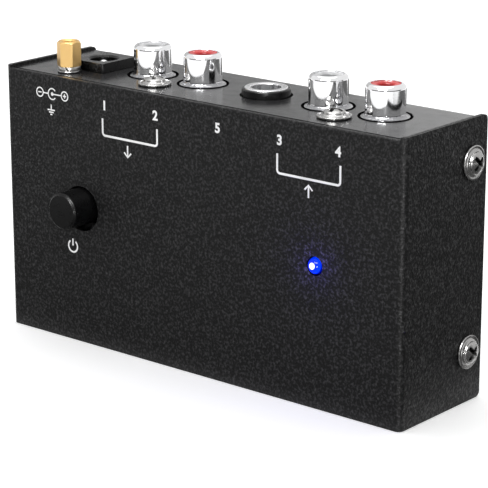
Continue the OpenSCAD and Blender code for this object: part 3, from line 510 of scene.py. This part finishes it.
applyModifier(firstTab, "SOLIDIFY", thickness=tray["sheet"] * mm, offset=-1, use_even_offset=True)
for y, z in sideScrewSpots:
    weld(chassis, copyPiece(firstTab, "rightTab", (0, 0, z)))
    weld(chassis, mirroredPiece(firstTab, "leftTab", z))
bpy.data.objects.remove(firstTab, do_unlink=True)
panelHoles = [addRod("panelHole", radius, 6, (x, y, 58.7)) for x, y, radius in
              [(-24.1, 1, 5.65), (-9.7, 1, 5.65), (24.2, 1, 5.65), (38.6, 1, 5.65), (7.8, 1, 5.6),
               (-16.9, -6.4, 1.7), (31.4, -6.4, 1.7), (-40.2, -8.5, 1.6)]]
panelHoles.append(addBlock("inletOpening", (-42.35, -5.65, 55), (-32.85, 5.65, 62)))
cutAway(chassis, *panelHoles, *[addRod("tabHole", 1.55, 6, (side * 53, y, z), (0, 90, 0), 48)
                                for side in (-1, 1) for y, z in sideScrewSpots])
softenEdges(chassis, tray["edge"])
hangOn(chassis, "case", finish["panel"], "satin_black", "rear_chassis")
print("chassis made")

# washer-head screw, modelled once: seat at z = 0, thread downwards
screw = {"thread": 1.5, "dome": 2.2, "top": 1.9, "domeBall": 4.33,
         "slotLong": 2.45, "slotHalf": 0.52, "slotFloor": 0.62, "slotTop": 2.4}


def makeScrew(name, length):
    shank = [(0, -length), (1.1, -length)] + threadOutline(screw["thread"], 0.2, 0.5, -length + 0.3, -0.2)
    cap = [(screw["dome"] * (1 - i / 12), screw["top"] - screw["domeBall"]
            + math.sqrt(screw["domeBall"] ** 2 - (screw["dome"] * (1 - i / 12)) ** 2))
           for i in range(13)]
    rim = [(1.5, 0), (3.42, 0), (3.56, 0.07), (3.6, 0.2), (3.6, 0.42), (3.55, 0.55), (3.42, 0.6), (3.24, 0.6),
           (3.12, 0.5), (2.95, 0.48), (2.87, 0.56), (2.8, 0.66), (2.4, 0.8), (2.34, 0.86), (2.31, 1.0),
           (2.29, 1.18), (2.25, 1.26)]
    blank = turnPiece(name, shank + rim + cap)
    cross = addBlock("crossTool", (-screw["slotLong"], -screw["slotHalf"], screw["slotFloor"]),
                     (screw["slotLong"], screw["slotHalf"], screw["slotTop"]))
    pickFaces(cross, lambda at, normal: normal.z < -0.5)
    bpy.ops.transform.resize(value=(0.5, 0.6, 1), center_override=(0, 0, screw["slotFloor"] * mm))
    doneEditing()
    weld(cross, copyPiece(cross, "crossTwin", turn=(0, 0, 90)))
    cutAway(blank, cross)
    softenEdges(blank, 0.05)
    return blank


sideScrew = makeScrew("sideScrew", 5)
sideSet = []
for side in (-1, 1):
    turned = copyPiece(sideScrew, "sideScrewTurned", turn=(0, 0, 45 * side))
    sideSet += [copyPiece(turned, "sideScrewPlaced", (side * cover["halfWidth"], y, z), (0, 90 * side, 0))
                for y, z in sideScrewSpots]
    bpy.data.objects.remove(turned, do_unlink=True)
bpy.data.objects.remove(sideScrew, do_unlink=True)
hangOn(joinPieces("sideScrews", sideSet), "case", finish["screw"], "nickel_screw", "side_screws")
fixingScrew = makeScrew("fixingScrew", 7)
for name, x, turn in pairSpots:
    hangOn(copyPiece(fixingScrew, name + "FixingScrew", (x, fixingY, tray["height"]), (0, 0, turn)), "case",
           finish["screw"], "nickel_screw", name + "_fixing_screw")
bpy.data.objects.remove(fixingScrew, do_unlink=True)
print("screws made")

# phono sockets: plated shell with flange, insulator with pin hole
socket = {"axisY": 1, "half": 7.2, "tail": (0.5, 3.7, 11.4, 53.4, 54.4)}
shellOutline = ([(4.15, 50.9), (4.15, 58.8), (4.98, 58.8), (5.05, 58.86), (5.08, 58.95), (5.08, 59.3),
                 (5.03, 59.41), (4.95, 59.45)] + arc(4.95, 60.25, 0.8, 270, 180, 8)
                + arc(3.15, 65.2, 1, 0, 90, 10)
                + [(3.12, 66.19), (3.1, 66.15), (3.1, 65.75), (3.15, 65.7)] + arc(3.15, 65.2, 0.5, 90, 0, 6)
                + [(3.65, 50.9), (4.15, 50.9)])
insulatorOutline = [(2.15, 50.9), (3.59, 50.9), (3.59, 65.15), (3.1, 65.15), (3.1, 65.5), (3.05, 65.6),
                    (3.05, 65.9), (3.0, 65.95), (2.1, 65.95), (2.02, 65.92), (1.73, 65.63), (1.7, 65.55),
                    (1.7, 57.76), (2.15, 57.76), (2.15, 50.9)]
firstShell = turnPiece("shell", shellOutline)
firstInsulator = turnPiece("insulator", insulatorOutline)
for piece in (firstShell, firstInsulator):
    softenEdges(piece, 0.03, 1, 60)
for pair, middle, _ in pairSpots:
    shells = []
    for ear, x, key, slot in (("left", middle - socket["half"], "white", "white_insulator"),
                              ("right", middle + socket["half"], "red", "red_insulator")):
        shells.append(copyPiece(firstShell, "shellPlaced", (x, socket["axisY"], 0)))
        tailHalf, tailFront, tailBack, tailLow, tailTop = socket["tail"]
        shells.append(addBlock("tail", (x - tailHalf, socket["axisY"] + tailFront, tailLow),
                               (x + tailHalf, tailBack, tailTop)))
        hangOn(copyPiece(firstInsulator, pair + ear.capitalize() + "Insulator", (x, socket["axisY"], 0)),
               "case", finish[key], slot, pair + "_" + ear + "_insulator")
    pairShells = joinPieces(pair + "Shells", shells)
    hangOn(pairShells, "case", finish["bright"], "bright_plate", pair + "_shells")
    pairShells.data.materials.append(finish["flange"])
    pickFaces(pairShells, lambda at, normal: 58.7 < at.z < 60.1)
    pairShells.active_material_index = 1
    bpy.ops.object.material_slot_assign()
    doneEditing()
for piece in (firstShell, firstInsulator):
    bpy.data.objects.remove(piece, do_unlink=True)
print("phono sockets made")

# large socket: moulded body with a round nose, bright ferrule inside it
jack = {"x": 7.8, "y": 1}
jackBody = addBlock("jackBody", (-0.2, -6.2, 32.4), (15.8, 9, 58.4))
pickEdges(jackBody, lambda at, along: abs(along.z) > 0.9)
bpy.ops.mesh.bevel(offset=0.5 * mm, segments=4, affect="EDGES")
doneEditing()
nose = turnPiece("nose", [(0, 57), (5.2, 57)] + arc(4.9, 60.7, 0.3, 0, 90, 5) + [(0, 61)])
weld(jackBody, placePiece(nose, (jack["x"], jack["y"], 0)))
boreTool = turnPiece("boreTool", [(0, 30), (3.75, 30), (3.75, 51.95), (4.65, 51.95), (4.65, 62), (0, 62)])
cutAway(jackBody, placePiece(boreTool, (jack["x"], jack["y"], 0)))
cutAway(jackBody, addBlock("tipSlot", (10.5, -0.5, 35.4), (14.9, 2.5, 45)),
        addBlock("ringSlot", (0.7, -0.5, 42.5), (5.1, 2.5, 52.1)),
        addBlock("tailSlot", (7.2, 4.5, 52.4), (8.4, 12, 53.6)))
cutAway(jackBody, addBlock("tipTail", (13.7, 1, 35.4), (14.9, 12, 37.6)),
        addBlock("ringTail", (0.7, 1, 42.5), (1.9, 12, 44.7)))
softenEdges(jackBody, 0.08)
hangOn(jackBody, "case", finish["black"], "moulded_black", "jack_body")
ferrule = turnPiece("ferrule", [(3.25, 52), (4.6, 52), (4.6, 60.98), (4.55, 61.1), (4.42, 61.19), (4.3, 61.2),
                                (3.5, 61.2), (3.36, 61.16), (3.27, 61.05), (3.25, 60.9), (3.25, 52)])
placePiece(ferrule, (jack["x"], jack["y"], 0))
ferrule = joinPieces("jackFerrule", [ferrule, addBlock("ferruleTail", (7.3, 5.2, 52.75), (8.3, 11.4, 53.25))])
softenEdges(ferrule, 0.02, 1, 60)
hangOn(ferrule, "case", finish["ferrule"], "bright_plate", "jack_ferrule")
print("large socket made")

# power inlet: square block with a round recess and a pin
inlet = {"x": -37.6, "y": -0.3, "top": 61.5}
inletBlock = addBlock("inletBlock", (-42.1, -5.4, 57.4), (-33.1, 5.4, inlet["top"]))
pickEdges(inletBlock, lambda at, along: abs(along.z) > 0.9)
bpy.ops.mesh.bevel(offset=0.55 * mm, segments=5, affect="EDGES")
doneEditing()
weld(inletBlock, addBlock("inletBody", (-42.1, -5.4, 46.2), (-33.1, 9, 58.4)))
recessTool = turnPiece("recessTool", [(0, 47.8), (1.5, 47.8), (1.5, 52.5), (3.15, 52.5), (3.15, 61.1),
                                      (3.6, 61.56), (3.6, 63), (0, 63)])
cutAway(inletBlock, placePiece(recessTool, (inlet["x"], inlet["y"], 0)))
cutAway(inletBlock, addBlock("clipSlot", (-41.65, -1.6, 48.2), (-40.2, 1, 57.5)),
        addBlock("stripSlot", (-38.2, -0.9, 45), (-37, 12, 47.9)))
cutAway(inletBlock, addBlock("clipTail", (-41.65, -0.3, 48.2), (-40.95, 12, 50)))
softenEdges(inletBlock, 0.14)
hangOn(inletBlock, "case", finish["black"], "moulded_black", "inlet_body")
pin = turnPiece("pin", [(0, 47.9), (1.45, 47.9), (1.45, 52.5), (1.05, 52.5), (1.05, 60.1)]
                + arc(0, 60.1, 1.05, 8, 90, 8), 48)
placePiece(pin, (inlet["x"], inlet["y"], 0))
pin = joinPieces("inletPin", [pin, addBlock("pinNeck", (-38.1, -0.8, 46.9), (-37.1, 0.2, 48.1)),
                              addBlock("pinStrip", (-38.1, 0.1, 46.9), (-37.1, 11.4, 47.5))])
softenEdges(pin, 0.04, 1, 60)
hangOn(pin, "case", finish["bright"], "bright_plate", "inlet_pin")
print("power inlet made")

# ground terminal: stud, flat washer, split washer and hexagon nut
post = {"x": -40.2, "y": -8.5, "nutLow": 60.8, "nutHigh": 66.3, "acrossFlats": 4.7, "turn": 30}
corner = post["acrossFlats"] / math.sqrt(3)
groundNut = addRod("groundNut", corner, post["nutHigh"] - post["nutLow"], (0, 0, 63.55),
                   (0, 0, post["turn"] - 30), 6)
nutShape = turnPiece("nutShape", [(0, 60.4), (corner - 0.25, 60.8), (corner + 0.4, 61.15),
                                  (corner + 0.1, 65.65), (corner - 0.5, 66.3), (0, 66.3)])
applyModifier(groundNut, "BOOLEAN", operation="INTERSECT", object=nutShape, solver="EXACT")
bpy.data.objects.remove(nutShape, do_unlink=True)
threadTool = turnPiece("threadTool", [(0, 59), (1.9, 59), (1.9, 60.6)]
                       + threadOutline(1.75, 0.2, 0.5, 60.8, 65.7)
                       + [(1.55, 65.9), (2.05, 66.35), (2.05, 67), (0, 67)])
cutAway(groundNut, threadTool)
softenEdges(groundNut, 0.12, 3)
placePiece(groundNut, (post["x"], post["y"], 0))
hangOn(groundNut, "terminal_nut", finish["brass"], "terminal_brass", "ground_nut")
stud = turnPiece("groundStud", [(0, 56.2), (2.5, 56.2), (2.7, 56.4), (2.7, 57.9), (2.6, 58), (1.5, 58)]
                 + threadOutline(1.5, 0.2, 0.5, 58.2, 64.9) + [(1.2, 65), (1.05, 65.2), (0, 65.2)], 48)
softenEdges(stud, 0.03, 1, 60)
placePiece(stud, (post["x"], post["y"], 0))
hangOn(stud, "case", finish["brass"], "terminal_brass", "ground_stud")
flatWasher = turnPiece("groundWasher", [(1.6, 59.4), (2.5, 59.4), (2.58, 59.46), (2.6, 59.54), (2.6, 59.76),
                                        (2.56, 59.86), (2.48, 59.9), (1.66, 59.9), (1.6, 59.85), (1.6, 59.4)])
softenEdges(flatWasher, 0.02, 1, 60)
placePiece(flatWasher, (post["x"], post["y"], 0))
hangOn(flatWasher, "case", finish["screw"], "nickel_screw", "ground_washer")
splitWasher = turnPiece("splitWasher", [(1.56, 59.92), (2.42, 59.92), (2.5, 60), (2.5, 60.7), (2.42, 60.78),
                                        (1.62, 60.78), (1.56, 60.73), (1.56, 59.92)])
gapTool = addBlock("gapTool", (0.5, -0.2, -1.2), (4, 0.2, 1.2))
placePiece(placePiece(gapTool, turn=(28, 0, 0)), (0, 0, 60.35), (0, 0, -60))
cutAway(splitWasher, gapTool)
softenEdges(splitWasher, 0.03, 1)
placePiece(splitWasher, (post["x"], post["y"], 0))
hangOn(splitWasher, "terminal_lift", finish["spring"], "spring_steel", "ground_split_washer")
print("ground terminal made")

# push button: the cap with its square socket
buttonCap = turnPiece("buttonCap", [(0, 7.6), (3.9, 7.6), (4.1, 7.8)] + arc(3.55, 19.5, 0.55, 0, 70, 6)
                      + [(3.68, 20.08), (3.6, 20.19), (3.5, 20.2), (0, 20.16)])
cutAway(buttonCap, addBlock("capSocket", (-1.75, -1.75, 6), (1.75, 1.75, 12.6)))
softenEdges(buttonCap, 0.05, 2, 50)
placePiece(buttonCap, (buttonSpot["x"], 0, buttonSpot["z"]), (90, 0, 0))
hangOn(buttonCap, "power_button", finish["button"], "button_black", "button_cap")
print("button made")

# the light's lens
lensPiece = turnPiece("lightLens", [(0, 9.8), (2.15, 9.8), (2.2, 9.85), (2.2, 10.75), (2.15, 10.8),
                                    (1.85, 10.8)] + arc(0, 13.05, 1.85, 0, 90, 12), 64)
softenEdges(lensPiece, 0.02, 1, 60)
placePiece(lensPiece, (lightSpot["x"], 0, lightSpot["z"]), (90, 0, 0))
hangOn(lensPiece, "case", finish["lens"], "blue_lens", "light_lens")
print("light made")

# printed marks: plain numbers, brackets, arrows and standard symbols
ink = {"front": -14.02, "thick": 0.03, "line": 0.5, "thin": 0.42, "number": 2.85}


def printLine(points, width, closed=False):  # flat stroke through points given as (x, z) in mm
    deselectAll()
    curve = bpy.data.curves.new("stroke", "CURVE")
    curve.dimensions = "3D"
    curve.bevel_depth = width / 2 * mm
    curve.bevel_resolution = 3
    curve.use_fill_caps = True
    spline = curve.splines.new("POLY")
    spline.points.add(len(points) - 1)
    for point, (x, z) in zip(spline.points, points):
        point.co = (x * mm, 0, z * mm, 1)
    spline.use_cyclic_u = closed
    stroke = bpy.data.objects.new("stroke", curve)
    bpy.context.collection.objects.link(stroke)
    makeActive(stroke)
    bpy.ops.object.convert(target="MESH")
    stroke = bpy.context.object
    stroke.scale = (1, ink["thick"] / width, 1)
    stroke.location = (0, ink["front"] * mm, 0)
    bpy.ops.object.transform_apply(location=True, rotation=True, scale=True)
    return stroke


def printArc(x, z, radius, start, end, width, count=24):
    return printLine(arc(x, z, radius, start, end, count), width, abs(end - start) >= 360)


def printNumber(text, x, z):
    deselectAll()
    bpy.ops.object.text_add(location=(0, 0, 0), rotation=(0, 0, 0))
    number = bpy.context.object
    number.data.body = text
    number.data.size = ink["number"] * mm
    number.data.align_x = "CENTER"
    number.data.align_y = "CENTER"
    number.data.offset = 0.1 * mm
    number.data.extrude = ink["thick"] / 2 * mm
    bpy.ops.object.convert(target="MESH")
    return placePiece(bpy.context.object, (x, ink["front"], z), (90, 0, 0))


marks = [printNumber(text, x, z) for text, x, z in
         (("1", -24.6, 54.9), ("2", -10, 54.85), ("5", 7.2, 54.8), ("3", 23.5, 54.8), ("4", 38.3, 54.75))]
turnRadius = 0.7  # of the brackets under the pairs
for left, right, top, low in ((-25.2, -9.5, 52.1, 48.4), (22.95, 38.9, 52.1, 48.05)):
    marks.append(printLine([(left, top)] + arc(left + turnRadius, low + turnRadius, turnRadius, 180, 270)
                           + arc(right - turnRadius, low + turnRadius, turnRadius, 270, 360) + [(right, top)],
                           ink["line"]))
arrow = {"half": 1.3, "barb": 0.3, "wing": 1}
for x, z, way in ((-18, 45.9, -1), (31, 45.5, 1)):  # arrow in, arrow out
    marks.append(printLine([(x, z - arrow["half"]), (x, z + arrow["half"])], ink["thin"]))
    marks.append(printLine([(x - arrow["wing"], z + arrow["barb"] * way), (x, z + arrow["half"] * way),
                            (x + arrow["wing"], z + arrow["barb"] * way)], ink["thin"]))
plugX, plugZ = -40.2, 55.3  # polarity: circle with centre dot between minus and plus
plug = {"signs": 3.75, "signRound": 1.0, "stroke": 0.5, "ring": 1.2, "line": 0.3}
for side in (-1, 1):
    signX = plugX + side * plug["signs"]
    marks.append(printArc(signX, plugZ, plug["signRound"], 0, 360, plug["line"]))
    marks.append(printLine([(signX - plug["stroke"], plugZ), (signX + plug["stroke"], plugZ)], plug["line"]))
plusX = plugX + plug["signs"]
marks.append(printLine([(plusX, plugZ - plug["stroke"]), (plusX, plugZ + plug["stroke"])], plug["line"]))
marks.append(printArc(plugX, plugZ, plug["ring"], 40, 320, plug["line"]))
marks.append(printArc(plugX, plugZ, 0.22, 0, 360, 0.4, 10))
plugWire = plug["signs"] - plug["signRound"]
marks.append(printLine([(plugX - plugWire, plugZ), (plugX - plug["ring"], plugZ)], plug["line"]))
marks.append(printLine([(plugX, plugZ), (plugX + plugWire, plugZ)], plug["line"]))
earthX, earthZ, earthLine = -40.6, 51.8, 0.32
marks.append(printLine([(earthX, earthZ + 1.1), (earthX, earthZ - 0.1)], earthLine))
for half, drop in ((1.1, 0.1), (0.7, 0.6), (0.3, 1.1)):
    marks.append(printLine([(earthX - half, earthZ - drop), (earthX + half, earthZ - drop)], earthLine))
powerX = -34.9  # power symbol: open ring with an upright stroke
marks.append(printArc(powerX, 21.8, 1.35, 125, 415, ink["thin"], 32))
marks.append(printLine([(powerX, 21.9), (powerX, 23.5)], ink["thin"]))
hangOn(joinPieces("printedMarks", marks), "case", finish["ink"], "white_insulator")
print("marks printed")

# floor, light, camera

studio = {"floor": 3.0, "lift": 0.3, "dim": 0.62, "bright": 1.05, "brightSide": (-0.75, -0.3, 0.45)}
deselectAll()
bpy.ops.mesh.primitive_plane_add(size=studio["floor"], location=(0, 0, -0.0001))
floor = bpy.context.object
floor.name = "floor"
paper = newFinish("paleFloor", (0.9, 0.9, 0.9), Roughness=0.9)
paperShader = paper.node_tree.nodes["Principled BSDF"]
paperShader.inputs["Emission Color"].default_value = (1, 1, 1, 1)
rays = addNode(paper, "ShaderNodeLightPath")
seenDirect = addNode(paper, "ShaderNodeMath", operation="MAXIMUM")
join(paper, rays.outputs["Is Camera Ray"], seenDirect.inputs[0])
join(paper, rays.outputs["Is Glossy Ray"], seenDirect.inputs[1])
seenAtAll = addNode(paper, "ShaderNodeMath", operation="MAXIMUM")
join(paper, seenDirect.outputs[0], seenAtAll.inputs[0])
join(paper, rays.outputs["Is Transmission Ray"], seenAtAll.inputs[1])
lift = addNode(paper, "ShaderNodeMath", operation="MULTIPLY")
join(paper, seenAtAll.outputs[0], lift.inputs[0])
lift.inputs[1].default_value = studio["lift"]
join(paper, lift.outputs[0], paperShader.inputs["Emission Strength"])
floor.data.materials.append(paper)

world = bpy.data.worlds.new("studio")
bpy.context.scene.world = world
world.use_nodes = True
sky = world.node_tree.nodes["Background"]
sky.inputs["Color"].default_value = (1, 1, 1, 1)
skyNodes, skyLinks = world.node_tree.nodes, world.node_tree.links
seen = skyNodes.new("ShaderNodeLightPath")  # camera, metal and glass see plain white
direct = skyNodes.new("ShaderNodeMath")
skyLinks.new(seen.outputs["Is Camera Ray"], direct.inputs[0])
skyLinks.new(seen.outputs["Is Glossy Ray"], direct.inputs[1])
white = skyNodes.new("ShaderNodeMath")
white.use_clamp = True
skyLinks.new(direct.outputs[0], white.inputs[0])
skyLinks.new(seen.outputs["Is Transmission Ray"], white.inputs[1])
way = skyNodes.new("ShaderNodeTexCoord")  # the light on the object is stronger from the left
toward = skyNodes.new("ShaderNodeVectorMath")
toward.operation = "DOT_PRODUCT"
toward.inputs[1].default_value = studio["brightSide"]
skyLinks.new(way.outputs["Generated"], toward.inputs[0])
falloff = skyNodes.new("ShaderNodeMapRange")
falloff.inputs["From Min"].default_value = -1
falloff.inputs["To Min"].default_value = studio["dim"]
falloff.inputs["To Max"].default_value = studio["bright"]
skyLinks.new(toward.outputs["Value"], falloff.inputs["Value"])
level = skyNodes.new("ShaderNodeMix")
skyLinks.new(white.outputs[0], level.inputs["Factor"])
skyLinks.new(falloff.outputs["Result"], level.inputs["A"])
level.inputs["B"].default_value = 1.0
skyLinks.new(level.outputs["Result"], sky.inputs["Strength"])


def standFlag(flag, shade):  # card that only shiny surfaces see, to give metal its lines
    flag.data.materials.append(newFinish(flag.name + "Card", (shade, shade, shade), Roughness=0.9))
    flag.visible_camera = False
    flag.visible_diffuse = False
    flag.visible_transmission = False
    flag.visible_shadow = False


flags = {"curtain": {"radius": 0.5, "height": 0.14, "half": 85, "shade": 0.03},
         "right": {"low": (60, -60, 0.4), "high": (320, 300, 0.5), "shade": 0.08},
         "front": {"low": (-260, -150, 0.4), "high": (130, -16, 0.5), "shade": 0.2},
         "back": {"away": 0.215, "size": (0.44, 0.15), "shade": 0.05},
         "haze": {"away": 0.3, "left": -0.36, "right": 0.045, "low": 0.075, "high": 0.27, "shade": 0.6}}
facing = Vector((0.641, -0.767, 0))  # from the part towards the camera
drape = flags["curtain"]
deselectAll()
bpy.ops.mesh.primitive_cylinder_add(vertices=72, radius=drape["radius"], depth=drape["height"],
                                    end_fill_type="NOTHING", location=(0, 0, drape["height"] / 2 + 0.002))
bpy.ops.object.transform_apply(location=True, rotation=True, scale=True)
curtain = bpy.context.object
curtain.name = "frontCurtain"
reach = math.cos(math.radians(drape["half"]))
pickFaces(curtain, lambda at, normal: Vector((at.x, at.y, 0)).normalized().dot(facing) < reach)
bpy.ops.mesh.delete(type="FACE")
doneEditing()
standFlag(curtain, drape["shade"])
for side in ("right", "front"):
    standFlag(addBlock(side + "Flag", flags[side]["low"], flags[side]["high"]), flags[side]["shade"])
facingTurn = math.atan2(facing.x, -facing.y)
bpy.ops.mesh.primitive_plane_add(size=1, location=-facing * flags["back"]["away"] + Vector((0, 0, 0.0005)),
                                 rotation=(0, 0, facingTurn))
backFlag = bpy.context.object
backFlag.name = "backFlag"
backFlag.scale = (*flags["back"]["size"], 1)
standFlag(backFlag, flags["back"]["shade"])
haze = flags["haze"]
sideways = Vector((-facing.y, facing.x, 0))
hazeMiddle = (-facing * haze["away"] + sideways * (haze["left"] + haze["right"]) / 2
              + Vector((0, 0, (haze["low"] + haze["high"]) / 2)))
bpy.ops.mesh.primitive_plane_add(size=1, location=hazeMiddle, rotation=(math.radians(90), 0, facingTurn))
hazeFlag = bpy.context.object
hazeFlag.name = "hazeFlag"
hazeFlag.scale = (haze["right"] - haze["left"], haze["high"] - haze["low"], 1)
standFlag(hazeFlag, haze["shade"])


def addSoftbox(name, at, toward, size, power):
    deselectAll()
    bpy.ops.object.light_add(type="AREA", location=at)
    lamp = bpy.context.object
    lamp.name = name
    lamp.data.shape = "RECTANGLE"
    lamp.data.size, lamp.data.size_y = size
    lamp.data.energy = power
    lamp.rotation_euler = (Vector(toward) - Vector(at)).to_track_quat("-Z", "Y").to_euler()
    return lamp


addSoftbox("topBox", (-0.1, 0.1, 0.7), (0, 0, 0.03), (0.5, 0.5), 1.4)
edgeBox = addSoftbox("edgeBox", (0.3, -0.36, 0.025), (0.054, -0.014, 0.03), (0.05, 0.03), 1.0)
edgeBox.visible_diffuse = False  # only a sheen along the folded edge
rimBox = addSoftbox("rimBox", (0.12, -0.36, 0.4), (0, -0.014, 0.04), (0.4, 0.2), 7)
rimBox.visible_diffuse = False  # only a glint on rounded edges and on the screws
glow = {"y": -17.6, "color": (0.22, 0.17, 1), "power": 0.0035, "radius": 1.2}  # blue light on the plate
bpy.ops.object.light_add(type="POINT", location=(lightSpot["x"] * mm, glow["y"] * mm, lightSpot["z"] * mm))
lensGlow = bpy.context.object
lensGlow.name = "lensGlow"
lensGlow.data.color = glow["color"]
lensGlow.data.energy = glow["power"]
lensGlow.data.shadow_soft_size = glow["radius"] * mm
lensGlow.visible_glossy = False

view = {"length": 159.62, "at": (0.28791, -0.34139, 0.15693), "pitch": 16.38, "yaw": 39.89}
bpy.ops.object.camera_add(location=view["at"],
                          rotation=(math.radians(90 - view["pitch"]), 0, math.radians(view["yaw"])))
camera = bpy.context.object
camera.data.sensor_width = 36
camera.data.lens = view["length"]
camera.data.clip_start = 0.01
bpy.context.scene.camera = camera
bpy.context.scene.view_settings.view_transform = "Standard"
print("studio set")
